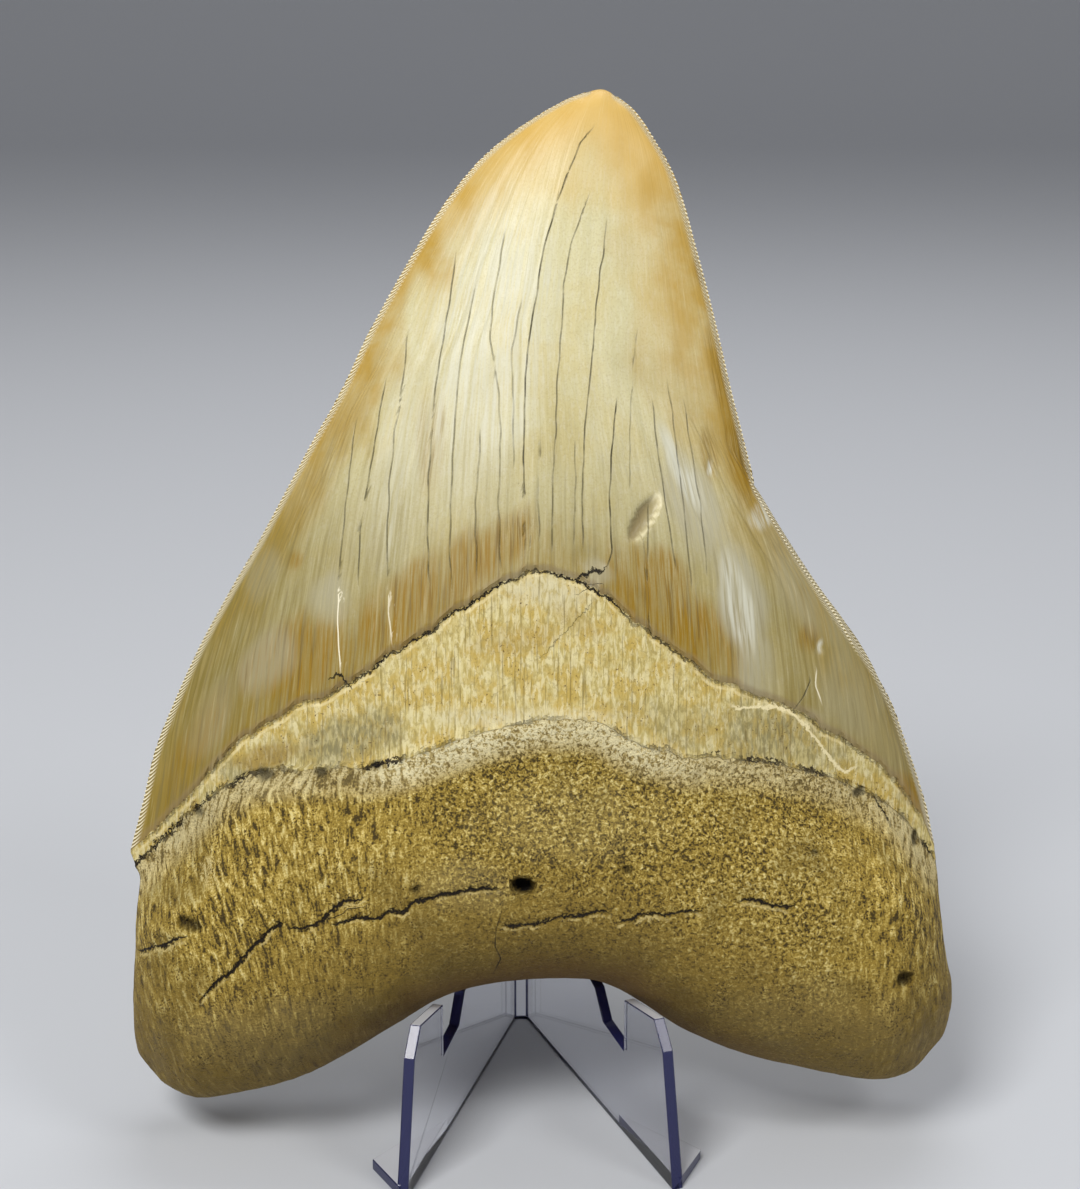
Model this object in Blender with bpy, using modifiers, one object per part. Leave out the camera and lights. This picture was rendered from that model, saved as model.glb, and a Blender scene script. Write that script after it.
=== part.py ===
"""A fossil megalodon tooth resting in a small clear display stand.

All named sizes are in millimetres. The tooth is drawn in its own upright plane: across is to the right as
seen from the front, height is up from the lowest point of its left lobe, and depth is towards the viewer.
The front is the tooth's inner, convex side.
"""
import bpy
import bmesh
import numpy as np
from math import cos, radians, sin
from mathutils import Matrix, Vector, noise
from mathutils.bvhtree import BVHTree

MM = 0.001
MERGE = 0.01 * MM

# How the tooth stands: its plane leans back, and its left lobe stops just above the surface
LEAN = radians(15.8)
FOOT_Y = -9.6
FOOT_Z = 4.3

# Outline of the tooth as (across, height), each run listed upwards or from left to right
LEFT_EDGE = [(-56.8, 34.0), (-55.1, 40.9), (-53.4, 47.9), (-50.7, 54.8), (-47.2, 62.4), (-43.0, 70.1),
             (-38.6, 77.7), (-31.9, 90.2), (-27.8, 97.4), (-23.6, 106.2), (-18.0, 116.2), (-13.2, 123.8),
             (-8.3, 129.8), (-2.8, 134.3), (2.8, 137.7), (6.2, 139.1)]
TIP = [(6.2, 139.1), (8.7, 139.5), (10.8, 138.5)]
RIGHT_EDGE = [(54.7, 34.7), (53.4, 40.9), (50.7, 49.3), (48.6, 54.8), (45.8, 59.7), (42.3, 64.5),
              (38.9, 69.4), (35.4, 74.9), (32.2, 80.2), (30.1, 83.7), (29.4, 86.7), (28.0, 92.3),
              (26.6, 97.8), (25.0, 104.8), (23.3, 111.7), (21.8, 117.3), (20.1, 123.5), (18.3, 128.4),
              (16.0, 132.5), (13.3, 136.4), (10.8, 138.5)]
ROOT_LEFT = [(-54.1, 3.7), (-55.8, 6.9), (-56.1, 13.2), (-55.9, 20.1), (-55.8, 26.4), (-55.5, 30.1),
             (-56.8, 34.0)]
ROOT_RIGHT = [(54.4, 6.4), (55.9, 8.7), (56.8, 12.5), (56.8, 16.0), (56.1, 19.4), (55.5, 24.3),
              (55.2, 29.8), (54.7, 34.7)]
UNDERSIDE = [(-54.1, 3.7), (-51.3, 1.5), (-46.5, 0.0), (-40.2, 1.0), (-33.3, 2.8), (-26.4, 6.2),
             (-19.4, 10.4), (-13.9, 13.7), (-8.3, 15.5), (-1.4, 16.4), (5.6, 16.5), (9.7, 15.5),
             (13.9, 13.2), (19.4, 9.7), (27.8, 6.2), (36.1, 4.2), (43.0, 2.8), (47.2, 2.6), (51.3, 3.7),
             (54.4, 6.4)]

# Inner lines: where the rough root ends, and where the enamel starts above the bourlette
ROOT_TOP = [(-56.2, 31.7), (-48.7, 38.6), (-42.0, 43.6), (-37.0, 45.6), (-29.4, 46.0), (-22.5, 46.5),
            (-15.8, 48.3), (-9.2, 50.7), (-2.6, 52.3), (2.6, 53.0), (7.9, 52.3), (13.2, 49.6),
            (18.5, 48.0), (23.9, 47.5), (30.8, 46.9), (37.7, 45.1), (43.6, 42.8), (49.4, 39.2),
            (54.9, 32.4)]
ENAMEL_LINE = [(-56.8, 34.0), (-50.2, 39.8), (-41.3, 49.1), (-33.6, 53.9), (-26.7, 57.0), (-20.0, 61.4),
               (-13.3, 65.8), (-6.6, 70.1), (-2.6, 72.2), (0.0, 72.7), (4.0, 71.8), (8.0, 69.8),
               (14.6, 64.5), (23.4, 58.3), (28.1, 56.4), (35.0, 53.6), (43.5, 48.3), (47.9, 44.8),
               (52.0, 40.0), (54.7, 34.7)]

# Depth of the two faces either side of the cutting edges, and how the root's rim is rounded
FRONT_ROOT_DEPTH = 19.0
FRONT_BOURLETTE_DEPTH = 16.5
FRONT_CROWN_DEPTH = 14.5
BACK_ROOT_DEPTH = 8.5
BACK_CROWN_DEPTH = 7.0
TIP_DEPTH = 1.2
LOBE_THINNING = 0.30
FRONT_UNDERSIDE_RADIUS = 14.0
FRONT_SIDE_RADIUS = 9.0
BACK_UNDERSIDE_RADIUS = 9.0
BACK_SIDE_RADIUS = 6.0
TIP_RADIUS = 3.0
BOURLETTE_RECESS = 0.6
LEDGE_WIDTH = 0.8
LUMP_HEIGHT = 0.55
LUMP_LENGTH = 9.0

# Pits and chips in the front as (across, height, half width, half height, half depth, turn in degrees)
PITS = {"foramen": (-2.2, 31.4, 1.7, 1.1, 3.0, 8.0),
        "gouge": (13.9, 79.6, 1.3, 3.6, 0.9, 32.0),
        "right_pit": (48.2, 18.6, 1.3, 1.0, 1.6, -30.0),
        "left_pit": (-46.3, 25.7, 1.9, 0.9, 1.3, 15.0)}

# Rows and columns of facets
COLUMNS = 44
ROOT_ROWS = 13
BOURLETTE_ROWS = 3
CROWN_ROWS = 24
CURVE_STEPS = 14

# Clear stand: all of it is one sheet thick
SHEET = 1.5
STRIP_WIDTH = 2.8
STAND_X = -2.94
STAND_Y = 22.6
STAND_TURN = radians(3.4)
WING_ANGLE = radians(18.2)
STRIP_HEIGHT = 68.0
FOOT_FRONT = 53.5
# A wing's outline as (forward, height): foot, hook, notch, then the backrest edge that the root leans on
WING = [(0.0, 0.0), (FOOT_FRONT, 0.0), (49.7, 18.2), (46.8, 21.6), (37.0, 19.9), (37.1, 12.4),
        (29.9, 13.4), (27.0, 17.2), (22.0, 18.9), (18.1, 22.6), (16.4, 27.8), (14.1, 36.8), (6.9, 66.5),
        (5.0, STRIP_HEIGHT), (0.0, STRIP_HEIGHT)]
# The small flat foot outside each wing as (forward, outward)
SIDE_FOOT = [(33.0, 0.0), (47.7, 6.1), (FOOT_FRONT, 0.4), (FOOT_FRONT - 1.0, 0.0)]
EDGE_ROUNDING = 0.2


def clear_scene():
    for thing in list(bpy.data.objects):
        bpy.data.objects.remove(thing, do_unlink=True)


def new_collection(name):
    collection = bpy.data.collections.new(name)
    bpy.context.scene.collection.children.link(collection)
    return collection


def material(name, colour, roughness, alpha=1.0, transmission=0.0):
    made = bpy.data.materials.new(name)
    made.use_nodes = True
    shader = made.node_tree.nodes["Principled BSDF"]
    shader.inputs["Base Color"].default_value = (*colour, 1.0)
    shader.inputs["Roughness"].default_value = roughness
    shader.inputs["Metallic"].default_value = 0.0
    shader.inputs["Transmission Weight"].default_value = transmission
    shader.inputs["Alpha"].default_value = alpha
    return made


def smoothstep(low, high, value):
    share = np.clip((value - low) / (high - low), 0.0, 1.0)
    return share * share * (3.0 - 2.0 * share)


def smooth_curve(points, shares):
    """Points of a smooth curve through the given ones, at the given shares of its length."""
    points = np.array(points)
    ends = np.vstack([2 * points[0] - points[1], points, 2 * points[-1] - points[-2]])
    steps = np.linspace(0.0, 1.0, CURVE_STEPS, endpoint=False)[:, None]
    runs = []
    for before, start, end, after in zip(ends[:-3], ends[1:-2], ends[2:-1], ends[3:]):
        leave = (end - before) / 2
        arrive = (after - start) / 2
        bend = 3 * (end - start) - 2 * leave - arrive
        close = 2 * (start - end) + leave + arrive
        runs.append(start + leave * steps + bend * steps ** 2 + close * steps ** 3)
    path = np.vstack(runs + [points[-1:]])
    lengths = np.concatenate([[0.0], np.cumsum(np.linalg.norm(np.diff(path, axis=0), axis=1))])
    wanted = np.asarray(shares) * lengths[-1]
    return np.stack([np.interp(wanted, lengths, path[:, axis]) for axis in (0, 1)], axis=-1)


def patch(bottom, top, left, right, columns, rows):
    """A sheet of points between four curves that meet at their ends."""
    low = smooth_curve(bottom, columns)[None, :, :]
    high = smooth_curve(top, columns)[None, :, :]
    start = smooth_curve(left, rows)[:, None, :]
    end = smooth_curve(right, rows)[:, None, :]
    across = columns[None, :, None]
    up = rows[:, None, None]
    corners = ((1 - across) * (1 - up) * low[:, :1] + across * (1 - up) * low[:, -1:]
               + (1 - across) * up * high[:, :1] + across * up * high[:, -1:])
    return (1 - up) * low + up * high + (1 - across) * start + across * end - corners


def between(low, high, share):
    return [low, tuple(low[axis] + share * (high[axis] - low[axis]) for axis in (0, 1)), high]


def distance_to(points, curve):
    """Each point's distance to a smooth curve."""
    path = smooth_curve(curve, np.linspace(0.0, 1.0, 160))
    start = path[:-1]
    run = path[1:] - start
    offset = points[..., None, :] - start
    along = np.clip((offset * run).sum(-1) / (run * run).sum(-1), 0.0, 1.0)
    return np.linalg.norm(offset - along[..., None] * run, axis=-1).min(-1)


def rim(distance, radius):
    """How full the body is at a distance from its rounded rim, from 0 to 1."""
    return np.sqrt(1.0 - (1.0 - np.clip(distance / radius, 0.0, 1.0)) ** 2)


def tooth_sheet():
    """The tooth's grid: its points in the plane, and each one's place in the root, bourlette and crown."""
    columns = np.linspace(0.0, 1.0, COLUMNS + 1)
    side = 2.0 * columns - 1.0
    # Columns crowd towards both sides, where the rims curve most
    columns = 0.5 + 0.5 * np.sign(side) * (1.0 - (1.0 - np.abs(side)) ** 1.25)
    root_rows = np.linspace(0.0, 1.0, ROOT_ROWS + 1) ** 1.4
    bourlette_rows = np.linspace(0.0, 1.0, BOURLETTE_ROWS + 1)
    crown_rows = 1.0 - (1.0 - np.linspace(0.0, 1.0, CROWN_ROWS + 1)) ** 1.1
    left_low = ROOT_LEFT[:-1] + [ROOT_TOP[0]]
    right_low = ROOT_RIGHT[:-1] + [ROOT_TOP[-1]]
    ledge = LEDGE_WIDTH / 2
    root = patch(UNDERSIDE, ROOT_TOP, left_low, right_low, columns, root_rows)
    bourlette = patch(ROOT_TOP, ENAMEL_LINE, between(ROOT_TOP[0], ENAMEL_LINE[0], 0.5),
                      between(ROOT_TOP[-1], ENAMEL_LINE[-1], 0.5), columns, bourlette_rows)
    crown = patch(ENAMEL_LINE, TIP, LEFT_EDGE, RIGHT_EDGE, columns, crown_rows)
    # The recess between root and enamel starts and ends a ledge's width inside its own lines
    room = np.clip((bourlette[-1, :, 1] - bourlette[0, :, 1]) / 4, 0.0, ledge)
    bourlette[0, :, 1] += room
    bourlette[-1, :, 1] -= room
    points = np.concatenate([root, bourlette, crown])
    zone = np.concatenate([root_rows, 1.0 + bourlette_rows, 2.0 + crown_rows])
    return points, zone, 2.0 * columns - 1.0


def depths(points, zone, side, front):
    """Depth of one face over the whole sheet."""
    zone = zone[:, None]
    side = np.abs(side)[None, :]
    root = np.clip(zone, 0.0, 1.0)
    bourlette = np.clip(zone - 1.0, 0.0, 1.0)
    crown = np.clip(zone - 2.0, 0.0, 1.0)
    if front:
        base = FRONT_ROOT_DEPTH + (FRONT_BOURLETTE_DEPTH - FRONT_ROOT_DEPTH) * smoothstep(0.4, 1.0, root)
        base = base + (FRONT_CROWN_DEPTH - FRONT_BOURLETTE_DEPTH) * bourlette
        top = FRONT_CROWN_DEPTH
        underside, flank = FRONT_UNDERSIDE_RADIUS, FRONT_SIDE_RADIUS
        lens = (1.0 - side ** 2.2) ** 1.1
    else:
        base = BACK_ROOT_DEPTH + (BACK_CROWN_DEPTH - BACK_ROOT_DEPTH) * smoothstep(0.5, 1.0, root)
        top = BACK_CROWN_DEPTH
        underside, flank = BACK_UNDERSIDE_RADIUS, BACK_SIDE_RADIUS
        lens = (1.0 - side ** 2.6) ** 0.9
    taper = (1.0 - crown) ** 0.85
    height = np.where(zone <= 2.0, base, TIP_DEPTH + (top - TIP_DEPTH) * taper)
    height = height * (1.0 - LOBE_THINNING * side ** 2 * (1.0 - smoothstep(1.0, 2.2, zone)))
    sides = np.minimum(distance_to(points, ROOT_LEFT), distance_to(points, ROOT_RIGHT))
    blend = smoothstep(0.65, 1.0, root)
    across = (1.0 - blend) * rim(sides, flank) + blend * lens
    return height * across * rim(distance_to(points, UNDERSIDE), underside) * rim(distance_to(points, TIP),
                                                                                 TIP_RADIUS)


def carve(points, zone, side, depth, front):
    """The low relief: the recessed bourlette and the lumps of the root."""
    zone = zone[:, None]
    inner = 1.0 - np.abs(side)[None, :] ** 8
    if front:
        depth = depth - BOURLETTE_RECESS * inner * np.where((zone > 1.0) & (zone <= 2.0), 1.0, 0.0)
    rough = np.where(zone <= 1.0, np.clip(depth / 3.0, 0.0, 1.0), 0.0)
    lumps = np.array([[noise.noise(Vector((x / LUMP_LENGTH, y / LUMP_LENGTH, 3.0 if front else 9.0)))
                       for x, y in row] for row in points])
    return depth + LUMP_HEIGHT * rough * lumps


def tooth_body():
    """Both faces of the tooth, joined all round the outline."""
    points, zone, side = tooth_sheet()
    rows = len(zone) - 1
    body = bmesh.new()
    for front in (True, False):
        depth = carve(points, zone, side, depths(points, zone, side, front), front)
        depth[0], depth[-1], depth[:, 0], depth[:, -1] = 0.0, 0.0, 0.0, 0.0
        made = bmesh.ops.create_grid(body, x_segments=COLUMNS, y_segments=rows, size=1.0)
        for vertex in made["verts"]:
            column = round((vertex.co.x + 1.0) / 2.0 * COLUMNS)
            row = round((vertex.co.y + 1.0) / 2.0 * rows)
            across, height = points[row, column]
            out = depth[row, column] if front else -depth[row, column]
            vertex.co = Vector((across, -out, height)) * MM
        if not front:
            faces = list({face for vertex in made["verts"] for face in vertex.link_faces})
            bmesh.ops.reverse_faces(body, faces=faces)
    bmesh.ops.remove_doubles(body, verts=body.verts, dist=MERGE)
    bmesh.ops.dissolve_degenerate(body, edges=body.edges, dist=MERGE)
    bmesh.ops.triangulate(body, faces=body.faces)
    bmesh.ops.recalc_face_normals(body, faces=body.faces)
    return body


def tooth(collection, cutters):
    body = tooth_body()
    surface = BVHTree.FromBMesh(body)
    mesh = bpy.data.meshes.new("tooth")
    body.to_mesh(mesh)
    body.free()
    made = bpy.data.objects.new("tooth", mesh)
    collection.objects.link(made)
    made.rotation_euler.x = -LEAN
    made.location = Vector((0.0, FOOT_Y, FOOT_Z)) * MM
    for name, (across, height, half_width, half_height, half_depth, turn) in PITS.items():
        start = Vector((across, -60.0, height)) * MM
        hit, normal, _, _ = surface.ray_cast(start, Vector((0.0, 1.0, 0.0)))
        cutter_mesh = bpy.data.meshes.new(name)
        ball = bmesh.new()
        bmesh.ops.create_uvsphere(ball, u_segments=12, v_segments=8, radius=MM)
        ball.to_mesh(cutter_mesh)
        ball.free()
        cutter = bpy.data.objects.new(name, cutter_mesh)
        cutters.objects.link(cutter)
        cutter.parent = made
        cutter.location = hit
        facing = (-normal).to_track_quat("Y", "Z")
        cutter.rotation_euler = (facing @ Matrix.Rotation(radians(turn), 3, "Y").to_quaternion()).to_euler()
        cutter.scale = (half_width, half_depth, half_height)
        cutter.hide_render = True
        cutter.display_type = "WIRE"
        cut = made.modifiers.new(name, "BOOLEAN")
        cut.operation = "DIFFERENCE"
        cut.object = cutter
    mesh.materials.append(material("fossil tooth", (0.62, 0.50, 0.29), 0.45))
    mesh.shade_smooth()
    mesh.set_sharp_from_angle(angle=radians(50))
    return made


def plate(name, outline, collection):
    """A flat piece of the clear sheet, with its outline in its own XY plane."""
    curve = bpy.data.curves.new(name, "CURVE")
    curve.dimensions = "2D"
    curve.fill_mode = "BOTH"
    curve.extrude = SHEET / 2 * MM
    spline = curve.splines.new("POLY")
    spline.points.add(len(outline) - 1)
    for point, (x, y) in zip(spline.points, outline):
        point.co = (x * MM, y * MM, 0.0, 1.0)
    spline.use_cyclic_u = True
    drawn = bpy.data.objects.new(name, curve)
    collection.objects.link(drawn)
    bpy.context.view_layer.update()
    mesh = bpy.data.meshes.new_from_object(drawn.evaluated_get(bpy.context.evaluated_depsgraph_get()))
    bpy.data.objects.remove(drawn, do_unlink=True)
    bpy.data.curves.remove(curve)
    welded = bmesh.new()
    welded.from_mesh(mesh)
    bmesh.ops.remove_doubles(welded, verts=welded.verts, dist=MERGE)
    bmesh.ops.recalc_face_normals(welded, faces=welded.faces)
    welded.to_mesh(mesh)
    welded.free()
    made = bpy.data.objects.new(name, mesh)
    collection.objects.link(made)
    return made


def stand(collection, cutters):
    """The back strip, joined with two wings and their side feet."""
    strip_mesh = bpy.data.meshes.new("stand")
    strip_form = bmesh.new()
    bmesh.ops.create_cube(strip_form, size=MM)
    sizes = Vector((STRIP_WIDTH + SHEET / 2, SHEET, STRIP_HEIGHT))
    bmesh.ops.scale(strip_form, vec=sizes, verts=strip_form.verts)
    bmesh.ops.translate(strip_form, vec=Vector((0.0, 0.0, STRIP_HEIGHT / 2)) * MM, verts=strip_form.verts)
    strip_form.to_mesh(strip_mesh)
    strip_form.free()
    made = bpy.data.objects.new("stand", strip_mesh)
    collection.objects.link(made)
    made.location = Vector((STAND_X, STAND_Y, 0.0)) * MM
    made.rotation_euler.z = STAND_TURN
    for name, hand in (("left", -1.0), ("right", 1.0)):
        forward = Vector((hand * sin(WING_ANGLE), -cos(WING_ANGLE), 0.0))
        outward = Vector((hand * cos(WING_ANGLE), sin(WING_ANGLE), 0.0))
        up = Vector((0.0, 0.0, 1.0))
        start = Vector((hand * STRIP_WIDTH / 2, 0.0, 0.0)) * MM
        wing = plate(name + "_wing", WING, cutters)
        wing.matrix_local = placed(forward, up, forward.cross(up), start)
        foot = plate(name + "_foot", SIDE_FOOT, cutters)
        lift = start + up * SHEET / 2 * MM
        foot.matrix_local = placed(forward, outward, forward.cross(outward), lift)
        for piece in (wing, foot):
            piece.parent = made
            piece.hide_render = True
            piece.display_type = "WIRE"
            join = made.modifiers.new(piece.name, "BOOLEAN")
            join.operation = "UNION"
            join.object = piece
    rounding = made.modifiers.new("polished edges", "BEVEL")
    rounding.width = EDGE_ROUNDING * MM
    rounding.segments = 1
    rounding.limit_method = "ANGLE"
    rounding.angle_limit = radians(50)
    made.data.materials.append(material("clear plastic", (0.86, 0.88, 0.95), 0.05, 0.35, 1.0))
    return made


def placed(x_axis, y_axis, z_axis, origin):
    turn = Matrix((x_axis, y_axis, z_axis)).transposed().to_4x4()
    return Matrix.Translation(origin) @ turn


def build():
    clear_scene()
    collection = new_collection("megalodon_tooth_on_stand")
    cutters = new_collection("cutters_and_joined_plates")
    tooth(collection, cutters)
    stand(collection, cutters)


build()
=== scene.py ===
"""A fossil megalodon tooth resting in a small clear display stand.

Named sizes are in millimetres, and meshes are made in metres. The tooth is drawn in its own plane:
across is to the right as seen from the front, height is up from the lowest point of its left lobe,
and depth is towards the viewer. The front is the tooth's inner, convex side.
"""
import bpy
import numpy as np
from math import cos, pi, radians, sin
from mathutils import Matrix, Vector, noise


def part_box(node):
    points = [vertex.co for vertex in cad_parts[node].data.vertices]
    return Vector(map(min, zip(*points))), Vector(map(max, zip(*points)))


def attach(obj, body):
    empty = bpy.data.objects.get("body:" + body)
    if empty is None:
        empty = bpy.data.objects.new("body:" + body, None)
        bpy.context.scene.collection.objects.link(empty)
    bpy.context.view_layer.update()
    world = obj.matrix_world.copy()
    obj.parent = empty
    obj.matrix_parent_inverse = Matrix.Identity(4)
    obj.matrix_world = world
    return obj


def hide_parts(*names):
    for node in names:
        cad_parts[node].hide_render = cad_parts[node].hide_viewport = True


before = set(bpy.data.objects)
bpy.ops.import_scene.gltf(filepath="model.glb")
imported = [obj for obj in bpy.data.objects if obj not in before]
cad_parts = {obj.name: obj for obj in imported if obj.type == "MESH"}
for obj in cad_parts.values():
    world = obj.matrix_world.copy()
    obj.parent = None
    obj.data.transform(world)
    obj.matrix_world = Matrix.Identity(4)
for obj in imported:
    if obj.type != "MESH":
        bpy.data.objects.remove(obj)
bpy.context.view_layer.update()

MM = 0.001
MERGE = 0.001 * MM
WELD = 0.01 * MM

# How the tooth stands: its plane leans back, and its left lobe stops just above the surface
LEAN = radians(15.8)
FOOT_Y = -9.6
FOOT_Z = 4.3

# Outline of the tooth as (across, height), each run listed upwards or from left to right
LEFT_EDGE = [
    (-56.8, 34.0), (-55.1, 40.9), (-53.4, 47.9), (-50.7, 54.8), (-47.2, 62.4), (-43.0, 70.1),
    (-38.6, 77.7), (-31.9, 90.2), (-27.8, 97.4), (-23.6, 106.2), (-18.0, 116.2), (-13.2, 123.8),
    (-8.3, 129.8), (-2.8, 134.3), (2.8, 137.7), (6.2, 139.1)]
TIP = [(6.2, 139.1), (8.7, 139.5), (10.8, 138.5)]
RIGHT_EDGE = [
    (54.7, 34.7), (53.4, 40.9), (50.7, 49.3), (48.6, 54.8), (45.8, 59.7), (42.3, 64.5), (38.9, 69.4),
    (35.4, 74.9), (32.2, 80.2), (30.1, 83.7), (29.4, 86.7), (28.0, 92.3), (26.6, 97.8), (25.0, 104.8),
    (23.3, 111.7), (21.8, 117.3), (20.1, 123.5), (18.3, 128.4), (16.0, 132.5), (13.3, 136.4),
    (10.8, 138.5)]
ROOT_LEFT = [
    (-54.1, 3.7), (-55.8, 6.9), (-56.1, 13.2), (-55.9, 20.1), (-55.8, 26.4), (-55.5, 30.1), (-56.8, 34.0)]
ROOT_RIGHT = [
    (54.4, 6.4), (55.9, 8.7), (56.8, 12.5), (56.8, 16.0), (56.1, 19.4), (55.5, 24.3), (55.2, 29.8),
    (54.7, 34.7)]
UNDERSIDE = [
    (-54.1, 3.7), (-51.3, 1.5), (-46.5, 0.0), (-40.2, 1.0), (-33.3, 2.8), (-26.4, 6.2), (-19.4, 10.4),
    (-13.9, 13.7), (-8.3, 15.5), (-1.4, 16.4), (5.6, 16.5), (9.7, 15.5), (13.9, 13.2), (19.4, 9.7),
    (27.8, 6.2), (36.1, 4.2), (43.0, 2.8), (47.2, 2.6), (51.3, 3.7), (54.4, 6.4)]

# Inner lines: where the rough root ends, and where the enamel starts above the bourlette
ROOT_TOP = [
    (-56.2, 31.7), (-48.7, 38.6), (-42.0, 43.6), (-37.0, 45.6), (-29.4, 46.0), (-22.5, 46.5),
    (-15.8, 48.3), (-9.2, 50.7), (-2.6, 52.3), (2.6, 53.0), (7.9, 52.3), (13.2, 49.6), (18.5, 48.0),
    (23.9, 47.5), (30.8, 46.9), (37.7, 45.1), (43.6, 42.8), (49.4, 39.2), (54.9, 32.4)]
ENAMEL_LINE = [
    (-56.8, 34.0), (-50.2, 39.8), (-41.3, 49.1), (-33.6, 53.9), (-26.7, 57.0), (-20.0, 61.4),
    (-13.3, 65.8), (-6.6, 70.1), (-2.6, 72.2), (0.0, 72.7), (4.0, 71.8), (8.0, 69.8), (14.6, 64.5),
    (23.4, 58.3), (28.1, 56.4), (35.0, 53.6), (43.5, 48.3), (47.9, 44.8), (52.0, 40.0), (54.7, 34.7)]
# On the back the enamel reaches lower, in a flatter curve, and the bourlette is a narrow band
BACK_ROOT_TOP = [
    (-56.2, 31.7), (-46.0, 36.0), (-32.0, 40.5), (-16.0, 45.5), (0.0, 47.5), (16.0, 45.5), (32.0, 40.5),
    (46.0, 36.0), (54.9, 32.4)]
BACK_ENAMEL_LINE = [
    (-56.8, 34.0), (-46.0, 39.0), (-32.0, 44.0), (-16.0, 49.5), (0.0, 52.0), (16.0, 49.5), (32.0, 44.0),
    (46.0, 39.0), (54.7, 34.7)]

# Depth of the two faces either side of the cutting edges, and how the root's rim is rounded
FRONT_ROOT_DEPTH = 19.0
FRONT_BOURLETTE_DEPTH = 16.5
FRONT_CROWN_DEPTH = 14.5
BACK_ROOT_DEPTH = 8.5
BACK_CROWN_DEPTH = 7.0
TIP_DEPTH = 1.2
LOBE_THINNING = 0.30
FRONT_UNDERSIDE_RADIUS = 14.0
FRONT_SIDE_RADIUS = 9.0
BACK_UNDERSIDE_RADIUS = 9.0
BACK_SIDE_RADIUS = 6.0
TIP_RADIUS = 3.0
THINNEST = 0.05
BOURLETTE_RECESS = 0.6
LEDGE_WIDTH = 0.8

# Low relief: each pattern's height and wavelength, and how far its streaks are drawn out upwards
LUMP_HEIGHT, LUMP_LENGTH = 0.55, 9.0
KNOB_HEIGHT, KNOB_LENGTH = 0.26, 3.0
FIBRE_HEIGHT, FIBRE_WIDTH, FIBRE_STRETCH = 0.55, 1.5, 5.0
GRAIN_HEIGHT, GRAIN_LENGTH = 0.20, 0.95
RIPPLE_HEIGHT, RIPPLE_WIDTH, RIPPLE_STRETCH = 0.07, 0.9, 8.0
CRUMB_HEIGHT, CRUMB_LENGTH = 0.45, 1.4
# Cracks under the enamel's edge, above the root and across it, as depth and half width
ENAMEL_CRACK, ENAMEL_CRACK_WIDTH = 0.3, 0.35
RIM_CRACK, RIM_CRACK_WIDTH = 0.35, 0.3
SEAM_CRACK, SEAM_CRACK_WIDTH = 0.35, 0.4
BACK_BAND_RECESS = 0.3

# Pits and chips in the front as (across, height, half width, half height, depth, turn in degrees)
PITS = {"foramen": (-2.2, 31.4, 1.7, 1.1, 3.0, 8.0),
        "gouge": (13.9, 79.6, 1.3, 3.6, 0.9, 32.0),
        "right pit": (48.2, 18.6, 1.3, 1.0, 1.6, -30.0),
        "left pit": (-46.3, 25.7, 1.9, 0.9, 1.3, 15.0),
        "upper chip": (23.1, 86.7, 0.55, 1.1, 0.35, 10.0),
        "edge chip": (37.7, 62.6, 0.6, 1.3, 0.4, -20.0),
        "flake": (6.6, 74.0, 2.2, 1.5, 0.35, 25.0),
        "root top hole": (-37.0, 45.2, 1.2, 0.8, 1.0, 0.0),
        "upper left hole": (-46.6, 39.8, 0.9, 0.7, 0.8, 30.0),
        "second hole": (-29.4, 45.6, 0.9, 0.6, 0.8, 0.0),
        "third hole": (-21.8, 46.7, 1.0, 0.6, 0.8, 0.0),
        "small pore": (-16.3, 30.9, 0.7, 0.5, 0.7, 0.0),
        "right knot": (43.4, 42.6, 1.1, 0.7, 0.8, -20.0),
        "right slot": (51.6, 35.9, 0.5, 1.1, 0.8, 10.0),
        "right pore": (36.4, 35.3, 0.7, 0.5, 0.7, 0.0),
        "middle pore": (11.3, 33.5, 0.8, 0.5, 0.6, 40.0)}
SMOOTH_PITS = ("gouge", "upper chip", "edge chip", "flake")

# Rows and columns of the front's fine grid. The back has every second one
COLUMNS = 256
ROOT_ROWS = 104
BOURLETTE_ROWS = 26
CROWN_ROWS = 160
CURVE_STEPS = 14

# Serrations of the cutting edges
SERRATION_PITCH = 0.62
SERRATION_DEPTH = 0.25
SERRATION_CUTS = 5
SERRATION_REACH = 1.2

# Clear stand: all of it is one sheet thick
SHEET = 1.5
STRIP_WIDTH = 2.8
STAND_X = -2.94
STAND_Y = 22.6
STAND_TURN = radians(3.4)
WING_ANGLE = radians(18.2)
STRIP_HEIGHT = 68.0
FOOT_FRONT = 53.5
# A wing's outline as (forward, height): foot, hook, notch, then the backrest edge that the root leans on
WING = [(0.0, 0.0), (FOOT_FRONT, 0.0), (49.7, 18.2), (46.8, 21.6), (37.0, 19.9), (37.1, 12.4),
        (29.9, 13.4), (27.0, 17.2), (22.0, 18.9), (18.1, 22.6), (16.4, 27.8), (14.1, 36.8), (6.9, 66.5),
        (5.0, STRIP_HEIGHT), (0.0, STRIP_HEIGHT)]
# The small flat foot outside each wing as (forward, outward)
SIDE_FOOT = [(33.0, 0.0), (47.7, 6.1), (FOOT_FRONT, 0.4), (FOOT_FRONT - 1.0, 0.0)]
EDGE_ROUNDING = 0.14
CORNER_ANGLE = radians(50)
# Faces that lie level in front of this depth, on the feet and the hooks, have the milky finish, which paints
# in the lit floor seen through them
PALE_TOPS_BEFORE = -13.0
LEVEL = 0.97
# A face whose mean width is under this share of the sheet's thickness is one of its sawn edges
EDGE_SHARE = 0.8

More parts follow.
